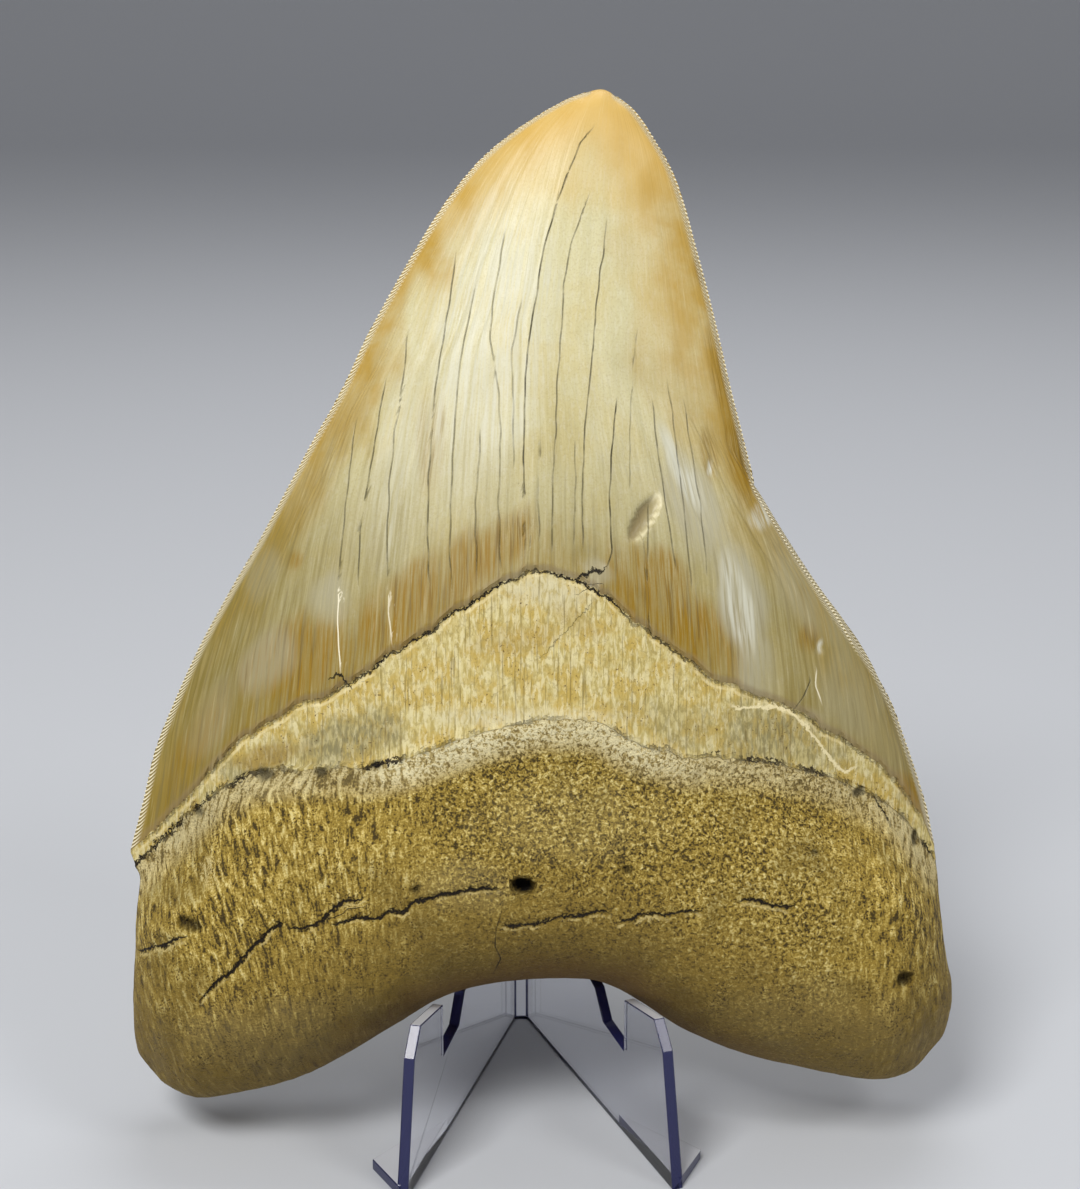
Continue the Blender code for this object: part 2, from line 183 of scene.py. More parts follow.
# Camera, lights and floor in metres, and the dip in degrees. A light is name, place, size, watts and colour
CAMERA_PLACE = (0.0, -0.2845, 0.154)
CAMERA_DIP = 15.76
CAMERA_LENS = 66.61
LIGHTS = (("key", (-0.35, -0.60, 0.90), 0.4, 8.0, (1.0, 0.99, 0.96)),
          ("fill", (0.64, -0.46, 0.82), 0.3, 1.9, (1.0, 0.99, 0.97)),
          ("top", (0.1, 0.45, 0.9), 0.6, 2.4, (1.0, 1.0, 1.0)))
LIT_PLACE = (0.0, 0.0, 0.07)
SKY = (0.98, 0.98, 1.0, 1.0)
SKY_STRENGTH = 0.25
FLOOR = 6.0
WALL = 3.0
WALL_BEND = 1.2

# Age cracks that run upwards as (strength, points). Above 0 is a dark crack, below 0 a pale filled one
HAIRLINES = [
    (1.0, [(7.5, 133.7), (5.5, 131.2), (4.0, 127.3), (2.4, 123.0), (1.0, 118.1), (0.1, 114.2),
           (-0.5, 109.6), (-1.5, 103.7), (-1.9, 99.2), (-2.1, 91.4), (-2.2, 87.4), (-2.0, 81.7),
           (-1.9, 75.1)]),
    (0.7, [(6.8, 124.2), (5.7, 121.2), (4.2, 116.9), (3.2, 111.2), (3.1, 106.8), (2.4, 99.2),
           (2.1, 91.7), (1.7, 83.3), (1.6, 75.0)]),
    (0.8, [(9.1, 120.7), (8.6, 115.2), (7.7, 109.8), (7.3, 103.8), (6.7, 97.8), (6.0, 91.7),
           (5.6, 81.5), (5.8, 75.5)]),
    (0.6, [(-4.8, 118.8), (-5.4, 114.9), (-6.5, 108.2), (-6.7, 103.8), (-5.4, 95.5), (-5.3, 87.3),
           (-5.5, 81.8), (-5.2, 72.7)]),
    (0.7, [(-8.8, 111.4), (-9.9, 105.4), (-10.8, 100.8), (-11.5, 91.8), (-11.9, 81.8), (-12.0, 74.4),
           (-11.7, 70.1)]),
    (0.8, [(-11.5, 116.2), (-12.4, 108.4), (-13.2, 104.0), (-14.3, 95.7), (-14.9, 85.5), (-15.0, 75.9),
           (-14.7, 70.9)]),
    (0.5, [(13.3, 105.5), (12.5, 99.4), (12.2, 91.9), (12.0, 83.4)]),
    (0.7, [(-18.0, 105.6), (-18.6, 98.6), (-19.6, 91.7), (-20.3, 84.1), (-20.5, 76.8), (-20.3, 70.9)]),
    (0.8, [(-21.1, 98.7), (-22.0, 92.5), (-23.1, 85.6), (-24.2, 78.1), (-24.4, 70.7)]),
    (0.7, [(-25.1, 93.3), (-25.7, 88.3), (-26.2, 82.0), (-26.8, 75.2), (-27.1, 71.1)]),
    (0.6, [(-7.9, 91.5), (-8.5, 82.4), (-8.6, 77.4), (-8.3, 71.9)]),
    (0.6, [(0.1, 90.1), (-0.2, 85.4), (-0.1, 76.3)]),
    (1.0, [(10.4, 95.7), (9.9, 91.8), (9.3, 83.4), (9.5, 75.1), (8.9, 72.8)]),
    (0.6, [(14.5, 82.1), (14.4, 77.0), (14.2, 70.3), (14.3, 66.3)]),
    (1.0, [(14.3, 67.2), (14.6, 64.4)]),
    (0.6, [(4.7, 90.1), (4.7, 83.4), (4.5, 75.9)]),
    (0.7, [(15.2, 95.8), (15.9, 89.0), (17.2, 79.4), (18.2, 72.7)]),
    (0.6, [(17.4, 98.7), (18.4, 90.4), (19.4, 80.8), (20.3, 70.1)]),
    (0.6, [(19.6, 96.0), (20.4, 90.4), (21.6, 81.7), (22.5, 71.8)]),
    (0.5, [(-2.4, 109.2), (-3.8, 102.3), (-3.6, 95.5), (-3.5, 86.0)]),
    (-1.0, [(-27.1, 71.1), (-27.1, 65.2), (-26.6, 58.9)]),
    (-0.7, [(-20.3, 70.9), (-20.2, 67.0), (-19.6, 62.6)]),
    (0.9, [(36.6, 58.0), (35.5, 55.6), (34.0, 53.7)]),
    (-0.8, [(37.4, 59.2), (37.2, 57.0), (38.0, 54.8)]),
    (1.0, [(-5.0, 28.2), (-5.7, 25.9), (-5.9, 23.2), (-5.1, 21.3), (-6.3, 18.8)]),
]
# Cracks and scratches that run across, in the same way, listed from left to right
RUNNING_CRACKS = [
    (0.8, [(-55.0, 21.4), (-53.9, 21.3), (-49.7, 22.8), (-46.4, 24.5)]),
    (1.0, [(-45.0, 15.8), (-42.0, 18.8), (-39.5, 21.0), (-37.3, 23.5), (-35.1, 25.7), (-33.2, 26.7)]),
    (1.0, [(-33.2, 25.8), (-30.7, 25.5), (-28.5, 26.7), (-26.9, 28.3), (-25.3, 29.3), (-22.8, 29.9)]),
    (1.0, [(-27.4, 26.0), (-24.2, 27.2), (-21.3, 27.2), (-19.5, 28.1), (-17.7, 28.3), (-16.1, 29.1),
           (-13.8, 30.1), (-10.9, 30.5), (-8.3, 31.2), (-5.2, 31.0)]),
    (0.75, [(-5.2, 26.2), (-1.0, 26.3), (1.7, 27.1), (5.9, 27.8), (9.3, 28.1)]),
    (0.75, [(10.0, 26.5), (12.7, 27.4), (15.0, 27.9), (16.6, 27.4), (18.5, 28.0), (21.4, 27.8)]),
    (0.85, [(25.6, 29.4), (27.8, 29.2), (30.1, 28.7), (33.8, 28.4)]),
    (0.6, [(-28.4, 58.0), (-26.9, 58.9), (-25.8, 57.7), (-25.0, 56.8)]),
    (0.9, [(4.6, 71.4), (5.6, 72.0), (6.4, 71.8), (6.9, 73.1), (7.5, 72.4), (8.3, 72.3), (8.9, 73.2)]),
    (0.12, [(-1.1, 59.9), (1.6, 62.7), (4.1, 65.2), (6.5, 67.9), (7.7, 69.1)]),
    (0.08, [(-9.4, 52.0), (-5.0, 57.2), (-2.4, 59.1)]),
    (-0.9, [(25.0, 54.6), (26.8, 54.3), (30.0, 54.6), (33.2, 54.0), (36.0, 51.6), (38.2, 48.6),
            (40.4, 46.0), (41.6, 45.2), (43.5, 45.9)]),
    (0.5, [(45.3, 42.3), (46.6, 40.2), (48.0, 37.8)]),
]
# How far the cracks waver, at what wavelength, and the heights past which no crack matters
HAIR_WAVER, HAIR_WAVER_LENGTH = 0.2, 3.2
SEAM_WAVER, SEAM_WAVER_LENGTH = 0.5, 1.9
BELOW_TOOTH, ABOVE_TOOTH, TIP_ACROSS = -10.0, 145.0, 8.0
FAR = 99.0
# Soft stains of the front as (across, height, half width, half height, turn in degrees, strength)
AMBER = [
    (-14.8, 90.2, 1.7, 6.5, 0.0, 0.4), (-31.5, 82.4, 2.2, 6.0, 28.0, 0.25),
    (-26.7, 92.0, 2.6, 5.0, 28.0, 0.25), (-33.3, 74.1, 1.2, 1.4, 0.0, 0.8),
    (22.1, 114.4, 0.8, 2.0, -10.0, 0.7), (27.6, 88.7, 1.9, 8.0, -10.0, 1.0),
    (25.4, 98.0, 1.4, 7.0, -12.0, 0.7), (23.0, 88.6, 1.2, 3.5, 0.0, 0.5),
    (14.6, 70.6, 6.0, 4.4, 42.0, 0.9), (21.3, 64.8, 7.5, 4.0, 38.0, 0.9),
    (-32.3, 61.4, 8.0, 4.4, -32.0, 0.9), (-11.9, 72.4, 11.0, 3.4, -34.0, 0.85),
    (-20.0, 67.0, 5.0, 4.0, -32.0, 0.9), (0.0, 76.0, 8.0, 2.6, 0.0, 0.15),
    (36.4, 63.4, 1.6, 2.0, 20.0, 0.9), (-47.0, 49.0, 2.2, 8.0, 30.0, 0.55),
    (50.9, 42.3, 1.2, 2.6, -30.0, 0.9), (-36.0, 47.8, 5.0, 1.3, -14.0, 0.8),
    (4.5, 66.0, 4.0, 1.2, 30.0, 0.5), (-3.0, 63.5, 6.0, 1.8, -10.0, 0.5)]
# The back's guessed stain below the enamel and one on it
BACK_AMBER = [(0.0, 54.0, 40.0, 4.0, 0.0, 0.5), (-8.0, 84.0, 5.0, 10.0, 10.0, 0.5)]
ASH = [
    (29.5, 50.0, 8.0, 2.6, -18.0, 0.9), (-38.0, 44.5, 6.0, 2.0, 14.0, 0.7),
    (21.0, 81.0, 3.0, 9.0, -25.0, 0.95), (26.5, 69.5, 3.2, 8.0, -15.0, 1.0),
    (29.2, 60.0, 2.6, 5.0, -8.0, 0.9), (42.0, 56.0, 4.0, 7.0, -30.0, 0.4),
    (36.0, 70.0, 3.0, 9.0, -30.0, 0.5), (-28.2, 68.7, 2.8, 3.4, 0.0, 0.8),
    (46.4, 50.0, 3.0, 6.0, -28.0, 0.25), (-37.0, 60.5, 3.0, 5.0, 25.0, 0.6),
    (-45.0, 52.0, 2.5, 6.0, 28.0, 0.35), (-38.0, 72.0, 2.0, 5.0, 28.0, 0.35),
    (7.6, 72.6, 2.2, 1.3, 30.0, 0.7), (-27.0, 50.0, 9.0, 3.0, -14.0, 1.0),
    (31.0, 50.5, 10.0, 3.4, 14.0, 0.8), (18.0, 52.0, 8.0, 2.6, 18.0, 0.5),
    (-9.7, 31.5, 6.0, 3.4, 0.0, 0.7), (4.0, 40.0, 12.0, 5.0, 0.0, 0.5),
    (-36.0, 11.0, 13.0, 5.0, -8.0, 0.7), (38.0, 13.0, 14.0, 5.0, 8.0, 0.5)]
CHALK = [
    (0.5, 69.8, 6.0, 2.2, 0.0, 0.9), (-1.0, 53.2, 13.0, 1.0, 0.0, 0.9),
    (19.0, 86.5, 1.4, 5.5, -24.0, 0.9), (26.5, 68.0, 1.7, 6.5, -14.0, 0.8),
    (23.1, 86.7, 0.35, 1.1, 10.0, 1.0), (37.9, 62.3, 0.35, 1.2, 20.0, 1.0),
    (31.2, 82.2, 1.2, 1.0, 40.0, 0.9), (-7.0, 104.0, 8.0, 18.0, 8.0, 0.6),
    (-19.0, 88.0, 3.0, 14.0, 8.0, 0.35), (-33.0, 43.8, 5.0, 1.2, -6.0, 0.5),
    (-44.0, 32.5, 2.2, 1.6, 0.0, 0.5), (12.0, 49.5, 10.0, 1.6, 20.0, 0.5),
    (30.2, 80.2, 1.5, 2.4, 40.0, 0.9)]

# Colour and relief of the tooth, each pattern worked out from the ones before it: its name, what is done,
# and what with. RANGE rises from 0 to 1, or between its last two values, as its pattern goes from the
# first value to the second. MIX goes from the second pattern to the third by the first
TOOTH_PATTERNS = [
    # Cracks: a fine dark line or a pale filled one, and beside the wide ones a broken pale lip
    ("hair", "ABSOLUTE", "hair_mm"),
    ("hair_power", "MAXIMUM", "hair_strength", 0.0),
    ("hair_break", "RANGE", "mottle", 0.35, 0.6, 0.5, 1.0),
    ("hair_core", "RANGE", "hair", 0.15, 0.03),
    ("hair_core", "MULTIPLY", "hair_core", "hair_break"),
    ("hair_dark", "MULTIPLY", "hair_core", "hair_power"),
    ("hair_fill", "MULTIPLY", "hair_strength", -1.0),
    ("hair_fill", "MAXIMUM", "hair_fill", 0.0),
    ("hair_band", "RANGE", "hair", 0.13, 0.04),
    ("hair_pale", "MULTIPLY", "hair_band", "hair_fill"),
    ("seam_waver", "MULTIPLY_ADD", "speckle", 1.3, -0.65),
    ("seam_at", "ADD", "seam_mm", "seam_waver"),
    ("seam", "ABSOLUTE", "seam_at"),
    ("seam_power", "MAXIMUM", "seam_strength", 0.0),
    ("seam_gap", "MULTIPLY_ADD", "seam_power", -0.25, "seam"),
    ("seam_core", "RANGE", "seam_gap", 0.07, -0.13),
    ("seam_on", "RANGE", "seam_power", 0.0, 0.25),
    ("seam_dark", "MULTIPLY", "seam_core", "seam_on"),
    ("seam_below", "ADD", "seam_at", 0.55),
    ("seam_below", "ABSOLUTE", "seam_below"),
    ("seam_lip", "RANGE", "seam_below", 0.28, 0.08),
    ("seam_broken", "RANGE", "mottle", 0.46, 0.6, 0.0, 0.65),
    ("seam_lip", "MULTIPLY", "seam_lip", "seam_broken"),
    ("seam_lip", "MULTIPLY", "seam_lip", "seam_on"),
    ("seam_fill", "MULTIPLY", "seam_strength", -1.0),
    ("seam_fill", "MAXIMUM", "seam_fill", 0.0),
    ("seam_band", "RANGE", "seam", 0.34, 0.1),
    ("seam_pale", "MULTIPLY", "seam_band", "seam_fill"),
    # Enamel: streaks, the gold rims, the olive band, stains, painted shade towards the lower corners and in
    # the notches along the cutting edges, and a painted highlight as a pale tick on each serration's crest
    ("streaked", "RANGE", "broad_streak", 0.35, 0.65, 0.0, 0.7),
    ("patched", "RANGE", "patch", 0.45, 0.65, 0.0, 0.5),
    ("gold_cover", "RANGE", "cloud", 0.25, 0.65, 0.5, 1.0),
    ("gold_on", "MULTIPLY", "gold", "gold_cover"),
    ("warm_on", "MULTIPLY", "warm", 0.8),
    # Painted shade: a streaked dark olive coat that darkens the crown towards its lower corners
    ("lower_corner_shade_cover", "RANGE", "fine_streak", 0.3, 0.7, 0.7, 1.0),
    ("lower_corner_shade_on", "MULTIPLY", "lower_corner_shade", "lower_corner_shade_cover"),
    ("band_at", "MULTIPLY_ADD", "stripe", 12.0, "enamel_mm"),
    ("band_at", "MULTIPLY_ADD", "mottle", 6.0, "band_at"),
    ("band_on", "RANGE", "band_at", 18.5, 8.5, 0.0, 0.9),
    ("band_on", "MULTIPLY", "band_on", "band"),
    ("band_streak", "RANGE", "thread", 0.38, 0.6, 1.0, 0.5),
    ("band_on", "MULTIPLY", "band_on", "band_streak"),
    ("amber_cover", "RANGE", "thread", 0.38, 0.6, 1.0, 0.4),
    ("amber_on", "MULTIPLY", "amber", "amber_cover"),
    ("stained", "MAXIMUM", "band_on", "amber_on"),
    ("deep", "RANGE", "stripe", 0.5, 0.64, 0.0, 0.65),
    ("deep", "MULTIPLY", "deep", "stained"),
    ("ash_cover", "RANGE", "fine_streak", 0.3, 0.6, 0.5, 0.85),
    ("ash_on", "MULTIPLY", "ash", "ash_cover"),
    ("chalk_on", "RANGE", "stripe", 0.6, 0.4, 0.15, 0.9),
    ("chalk_on", "MULTIPLY", "chalk_on", "chalk"),
    # Dark streaks of that painted shade, strongest towards the lower corners
    ("streaked_shade", "RANGE", "stripe", 0.53, 0.66, 0.0, 0.4),
    ("streaked_shade", "MULTIPLY", "streaked_shade", "lower_corner_shade"),
    ("flecked", "RANGE", "grit", 0.5, 0.64, 0.0, 0.3),
    ("veiled", "RANGE", "furrow", 0.48, 0.64, 0.0, 0.3),
    ("polished", "RANGE", "stripe", 0.42, 0.3, 0.0, 0.15),
    ("broken_edge", "RANGE", "enamel_mm", 1.1, 0.4, 0.0, 0.4),
    # Painted shade: a darker rim band along the cutting edges, left showing between the crests. Painted
    # highlight: a pale tick on each serration's crest
    ("rim_band", "RANGE", "edge_mm", SERRATION_REACH, 0.3),
    ("rim_shade_on", "MULTIPLY", "rim_band", 0.2),
    ("tick", "PINGPONG", "edge_run", SERRATION_PITCH / 2),
    ("tick", "RANGE", "tick", 0.08, 0.2),
    ("serration_crest_highlight", "MULTIPLY", "tick", "rim_band"),
    # Bourlette: furrowed dentine with cream, yellow and grey patches and small pores
    ("furrowed", "RANGE", "furrow", 0.38, 0.62, 0.1, 0.85),
    ("yellowed", "RANGE", "mottle", 0.42, 0.6, 0.0, 0.8),
    ("creamed", "RANGE", "fibre", 0.48, 0.6, 0.0, 0.6),
    ("dented", "RANGE", "speckle", 0.46, 0.38, 0.0, 0.35),
    ("greyed", "RANGE", "furrow", 0.35, 0.6, 1.0, 0.45),
    ("greyed", "MULTIPLY", "ash", "greyed"),
    ("browned", "MULTIPLY", "amber", 0.5),
    ("capped", "RANGE", "furrow", 0.38, 0.58, 0.3, 0.9),
    ("capped", "MULTIPLY", "capped", "chalk"),
    ("threaded", "RANGE", "thread", 0.56, 0.68, 0.0, 0.55),
    ("pored", "RANGE", "grit", 0.62, 0.7),
    ("pore_place", "RANGE", "mottle", 0.5, 0.6),
    ("pored", "MULTIPLY", "pored", "pore_place"),
    ("lip", "ADD", "enamel_mm", 0.8),
    ("lip", "ABSOLUTE", "lip"),
    ("lip", "RANGE", "lip", 0.3, 0.08),
    ("lip_place", "RANGE", "mottle", 0.45, 0.58, 0.0, 0.5),
    ("lip", "MULTIPLY", "lip", "lip_place"),
    # The dark gaps under the enamel's broken edge and along the root's upper rim
    ("jag", "MULTIPLY_ADD", "speckle", 1.5, -0.75),
    ("rift_at", "ADD", "enamel_mm", "jag"),
    ("rift_at", "ADD", "rift_at", 0.25),
    ("rift_at", "ABSOLUTE", "rift_at"),
    ("rift_on", "RANGE", "rift_at", 0.2, 0.05),
    ("rift_on", "MULTIPLY", "rift_on", "rift"),
    ("inside", "RANGE", "edge_mm", 0.5, 2.0),
    ("rift_on", "MULTIPLY", "rift_on", "inside"),
    ("split_at", "MULTIPLY_ADD", "speckle", 2.8, "root_mm"),
    ("split_at", "SUBTRACT", "split_at", 1.55),
    ("split_at", "ABSOLUTE", "split_at"),
    ("split_on", "RANGE", "split_at", 0.36, 0.1),
    ("split_on", "MULTIPLY", "split_on", "split"),
    ("on_enamel", "RANGE", "enamel_mm", -0.12, 0.0),
    ("on_root", "RANGE", "root_mm", 0.12, 0.0),
    # Root grains: fibres on the lobes, speckle in the middle, calmer towards the underside
    ("bone", "MIX", "fibrous", "speckle", "fibre"),
    ("bone", "MIX", 0.3, "bone", "grit"),
    ("bone", "MULTIPLY_ADD", "patch", 0.16, "bone"),
    ("bone", "SUBTRACT", "bone", 0.08),
    ("calm", "MULTIPLY", "dark", 0.55),
    ("grains", "MIX", "calm", "bone", 0.49),
    ("mid", "RANGE", "grains", 0.4, 0.49),
    ("light", "RANGE", "grains", 0.5, 0.57, 0.0, 0.9),
    ("cream", "RANGE", "grains", 0.56, 0.63),
    ("pores", "RANGE", "grit", 0.45, 0.35, 0.0, 0.9),
    ("pores", "MULTIPLY", "pores", "pore_place"),
    ("olive", "RANGE", "patch", 0.5, 0.7, 0.0, 0.45),
    ("rim_near", "RANGE", "root_mm", -5.0, -1.0),
    ("rim_near", "MULTIPLY", "rim_near", "rim_pale"),
    ("rim_ground", "RANGE", "grains", 0.36, 0.46, 0.6, 0.9),
    ("rim_ground", "MULTIPLY", "rim_ground", "rim_near"),
    ("rim_grain", "RANGE", "grains", 0.44, 0.52),
    ("rim_grain", "MULTIPLY", "rim_grain", "rim_near"),
    ("rim_gap", "RANGE", "grains", 0.43, 0.38, 0.0, 0.45),
    ("rim_gap", "MULTIPLY", "rim_gap", "rim_near"),
    ("tan", "MULTIPLY", "ash", 0.5),
    # Darker coat towards the underside: partly the root's own browner colour, partly painted shade
    ("underside_stain_and_shade", "MULTIPLY", "dark", 0.56),
    ("rust_on", "MULTIPLY", "rust", 0.6),
    ("bone_chalk", "MULTIPLY", "chalk", "light"),
    # Relief in millimetres: first each surface's own, then the grooves that cross all of them
    ("enamel_relief", "MULTIPLY_ADD", "fine_streak", 0.04, 0.0),
    ("enamel_relief", "MULTIPLY_ADD", "serration_crest_highlight", 0.12, "enamel_relief"),
    ("enamel_relief", "MULTIPLY_ADD", "hair_dark", -0.12, "enamel_relief"),
    ("enamel_relief", "MULTIPLY_ADD", "gouge_and_wall_shade", -0.25, "enamel_relief"),
    ("dentine_relief", "MULTIPLY_ADD", "furrow", 0.14, 0.0),
    ("dentine_relief", "MULTIPLY_ADD", "thread", 0.06, "dentine_relief"),
    ("root_relief", "MULTIPLY_ADD", "grains", 0.9, 0.0),
    ("root_relief", "MULTIPLY_ADD", "grit", 0.2, "root_relief"),
    ("height", "MIX", "on_enamel", "dentine_relief", "enamel_relief"),
    ("height", "MIX", "on_root", "height", "root_relief"),
    ("height", "MULTIPLY_ADD", "seam_dark", -0.35, "height"),
    ("height", "MULTIPLY_ADD", "rift_on", -0.35, "height"),
    ("height", "MULTIPLY_ADD", "split_on", -0.3, "height"),
    ("height", "MULTIPLY_ADD", "pit", -0.4, "height"),
]
# Each finish of the tooth: its ground colour, then coats of colour over it by the patterns' names
TOOTH_FINISHES = {
    "enamel": ("#e4dcae", [
        ("streaked", "#d9d1a2"), ("patched", "#dccb8c"), ("veiled", "#efead0"), ("flecked", "#c4b47c"),
        # The dark olive coat of the lower corners and its dark streaks are painted shade
        ("gold_on", "#c8a248"), ("warm_on", "#e8bf68"), ("lower_corner_shade_on", "#8a7a3c"), ("band_on", "#91740c"),
        ("amber_on", "#99740a"), ("deep", "#6a4f0c"), ("ash_on", "#b4ae92"), ("chalk_on", "#dcdccc"),
        # The darker cutting-edge rim is painted shade, and the pale serration ticks are painted highlights
        ("streaked_shade", "#82744a"), ("polished", "#f6edc2"), ("broken_edge", "#9c8560"), ("rim_shade_on", "#8f7a46"),
        # The gouge's shaded left wall is painted shade, and its pale right lip is a painted highlight
        ("serration_crest_highlight", "#fff3cf"), ("gouge_and_wall_shade", "#94835c"), ("gouge_lip_highlight", "#fdf3cb"), ("hair_dark", "#4a4429"),
        ("hair_pale", "#fff6d8")]),
    "dentine": ("#b8a45c", [
        ("furrowed", "#e0d193"), ("yellowed", "#c8ab52"), ("creamed", "#efe4b4"), ("dented", "#96834a"),
        ("greyed", "#8f865c"), ("browned", "#94701f"), ("capped", "#ddd3ab"), ("threaded", "#77642e"),
        ("pored", "#5c4418"), ("lip", "#f7e9b4")]),
    "root": ("#4c3d16", [
        ("mid", "#a98d38"), ("tan", "#a29262"), ("light", "#dfc46c"), ("cream", "#fae79c"),
        # The underside's darker coat is partly painted shade
        ("olive", "#6e5a1c"), ("pores", "#3a2a0c"), ("underside_stain_and_shade", "#503d18"), ("rust_on", "#63411a"),
        ("rim_ground", "#c9b272"), ("rim_grain", "#fbefc0"), ("rim_gap", "#6a5526"),
        ("bone_chalk", "#f0dfa6"), ("seam_lip", "#e3cd88"), ("hair_dark", "#2a1c08")])}
# What shows over all three. The pits' near-black is painted shade in the holes
TOOTH_GROOVES = [("seam_pale", "#f6e8b8"), ("rift_on", "#20140a"), ("split_on", "#261a08"),
                 ("seam_dark", "#1d1407"), ("pit", "#0d0803")]
# Finishes of the cast acrylic sheet as name, colour, roughness and clearness. Its polished faces are
# water-clear. Its sawn and polished edges gather the light inside and look a deep blue-violet, which is
# painted into them as a dark blue colour. Where it lies level, on the feet and hook tops, the lit pale
# surface below would show through it; it is painted in as a milky pale colour
ACRYLIC = [("clear_acrylic", "#f4f5fb", 0.02, 1.0), ("acrylic_edge_painted_shade", "#2a2d63", 0.12, 0.35),
           ("acrylic_foot_painted_light", "#e9ebf2", 0.06, 0.2)]


def deselect():
    for thing in bpy.context.selected_objects:
        thing.select_set(False)


def pick(made, *others):
    """Selects only these objects, with the first one active."""
    deselect()
    for thing in (made, *others):
        thing.select_set(True)
    bpy.context.view_layer.objects.active = made


def edit_whole(*steps):
    """Runs mesh operators, each with its settings, on all of the active object."""
    bpy.ops.object.mode_set(mode="EDIT")
    for operator, settings in steps:
        bpy.ops.mesh.select_all(action="SELECT")
        operator(**settings)
    bpy.ops.object.mode_set(mode="OBJECT")


def edit_edges(made, chosen, operator, **settings):
    """Runs a mesh operator on the chosen edges of an object."""
    pick(made)
    bpy.ops.object.mode_set(mode="EDIT")
    bpy.ops.mesh.select_mode(type="EDGE")
    bpy.ops.mesh.select_all(action="DESELECT")
    bpy.ops.object.mode_set(mode="OBJECT")
    made.data.edges.foreach_set("select", chosen)
    bpy.ops.object.mode_set(mode="EDIT")
    operator(**settings)
    bpy.ops.object.mode_set(mode="OBJECT")


def apply_modifier(made, kind, **settings):
    """Adds a modifier with its settings to an object and applies it."""
    pick(made)
    modifier = made.modifiers.new(kind.lower(), kind)
    for name, value in settings.items():
        setattr(modifier, name, value)
    bpy.ops.object.modifier_apply(modifier=modifier.name)


def smoothstep(low, high, value):
    share = np.clip((value - low) / (high - low), 0.0, 1.0)
    return share * share * (3.0 - 2.0 * share)


def smooth_curve(points, shares):
    """Points of a smooth curve through the given ones, at the given shares of its length."""
    points = np.array(points)
    ends = np.vstack([2 * points[0] - points[1], points, 2 * points[-1] - points[-2]])
    steps = np.linspace(0.0, 1.0, CURVE_STEPS, endpoint=False)[:, None]
    runs = []
    for before, start, end, after in zip(ends[:-3], ends[1:-2], ends[2:-1], ends[3:]):
        leave = (end - before) / 2
        arrive = (after - start) / 2
        bend = 3 * (end - start) - 2 * leave - arrive
        close = 2 * (start - end) + leave + arrive
        runs.append(start + leave * steps + bend * steps ** 2 + close * steps ** 3)
    path = np.vstack(runs + [points[-1:]])
    lengths = np.concatenate([[0.0], np.cumsum(np.linalg.norm(np.diff(path, axis=0), axis=1))])
    wanted = np.asarray(shares) * lengths[-1]
    return np.stack([np.interp(wanted, lengths, path[:, axis]) for axis in (0, 1)], axis=-1)


def length_of(curve):
    path = smooth_curve(curve, np.linspace(0.0, 1.0, 400))
    return np.linalg.norm(np.diff(path, axis=0), axis=1).sum()


def patch(bottom, top, left, right, columns, rows):
    """A sheet of points between four curves that meet at their ends."""
    low = bottom(columns)[None, :, :]
    high = top(columns)[None, :, :]
    start = smooth_curve(left, rows)[:, None, :]
    end = smooth_curve(right, rows)[:, None, :]
    across = columns[None, :, None]
    up = rows[:, None, None]
    corners = ((1 - across) * (1 - up) * low[:, :1] + across * (1 - up) * low[:, -1:]
               + (1 - across) * up * high[:, :1] + across * up * high[:, -1:])
    return (1 - up) * low + up * high + (1 - across) * start + across * end - corners


def between(low, high, share):
    return [low, tuple(low[axis] + share * (high[axis] - low[axis]) for axis in (0, 1)), high]


def distance_to(points, path):
    """Each point's distance to a path of straight runs, above it or on its left as positive."""
    start = path[:-1]
    run = path[1:] - start
    found = np.empty(points.shape[:-1])
    for row, line in enumerate(points):
        offset = line[:, None, :] - start
        along = np.clip((offset * run).sum(-1) / (run * run).sum(-1), 0.0, 1.0)
        gap = offset - along[..., None] * run
        distance = np.linalg.norm(gap, axis=-1)
        nearest = distance.argmin(-1)
        pick = np.arange(len(line))
        turn = run[nearest, 0] * gap[pick, nearest, 1] - run[nearest, 1] * gap[pick, nearest, 0]
        found[row] = distance[pick, nearest] * np.where(turn < 0.0, -1.0, 1.0)
    return found


def curve_distance(points, curve):
    return np.abs(distance_to(points, smooth_curve(curve, np.linspace(0.0, 1.0, 160))))


def rim(distance, radius):
    """How full the body is at a distance from its rounded rim, from 0 to 1."""
    return np.sqrt(1.0 - (1.0 - np.clip(distance / radius, 0.0, 1.0)) ** 2)


def texture(points, size, seed, stretch=1.0):
    """Smooth noise from -1 to 1 over the plane. size is its wavelength, drawn out upwards by stretch."""
    flat = points.reshape(-1, 2) / np.array((size, size * stretch))
    values = [noise.noise(Vector((x, y, seed))) for x, y in flat]
    return np.array(values).reshape(points.shape[:-1])


def spot(points, across, height, half_width, half_height, turn):
    """1 in the middle of a turned ellipse, 0 at its rim and below 0 outside it."""
    angle = radians(turn)
    x = points[..., 0] - across
    y = points[..., 1] - height
    along = (x * cos(angle) - y * sin(angle)) / half_width
    up = (x * sin(angle) + y * cos(angle)) / half_height
    return 1.0 - along ** 2 - up ** 2


def stains(points, spots, ragged):
    """How strong a set of soft stains is at each point, with ragged rims."""
    total = np.zeros(points.shape[:-1])
    for across, height, half_width, half_height, turn, strength in spots:
        shape = spot(points, across, height, half_width, half_height, turn)
        total = np.maximum(total, strength * smoothstep(-0.9, 0.9, shape + 0.9 * ragged))
    return total


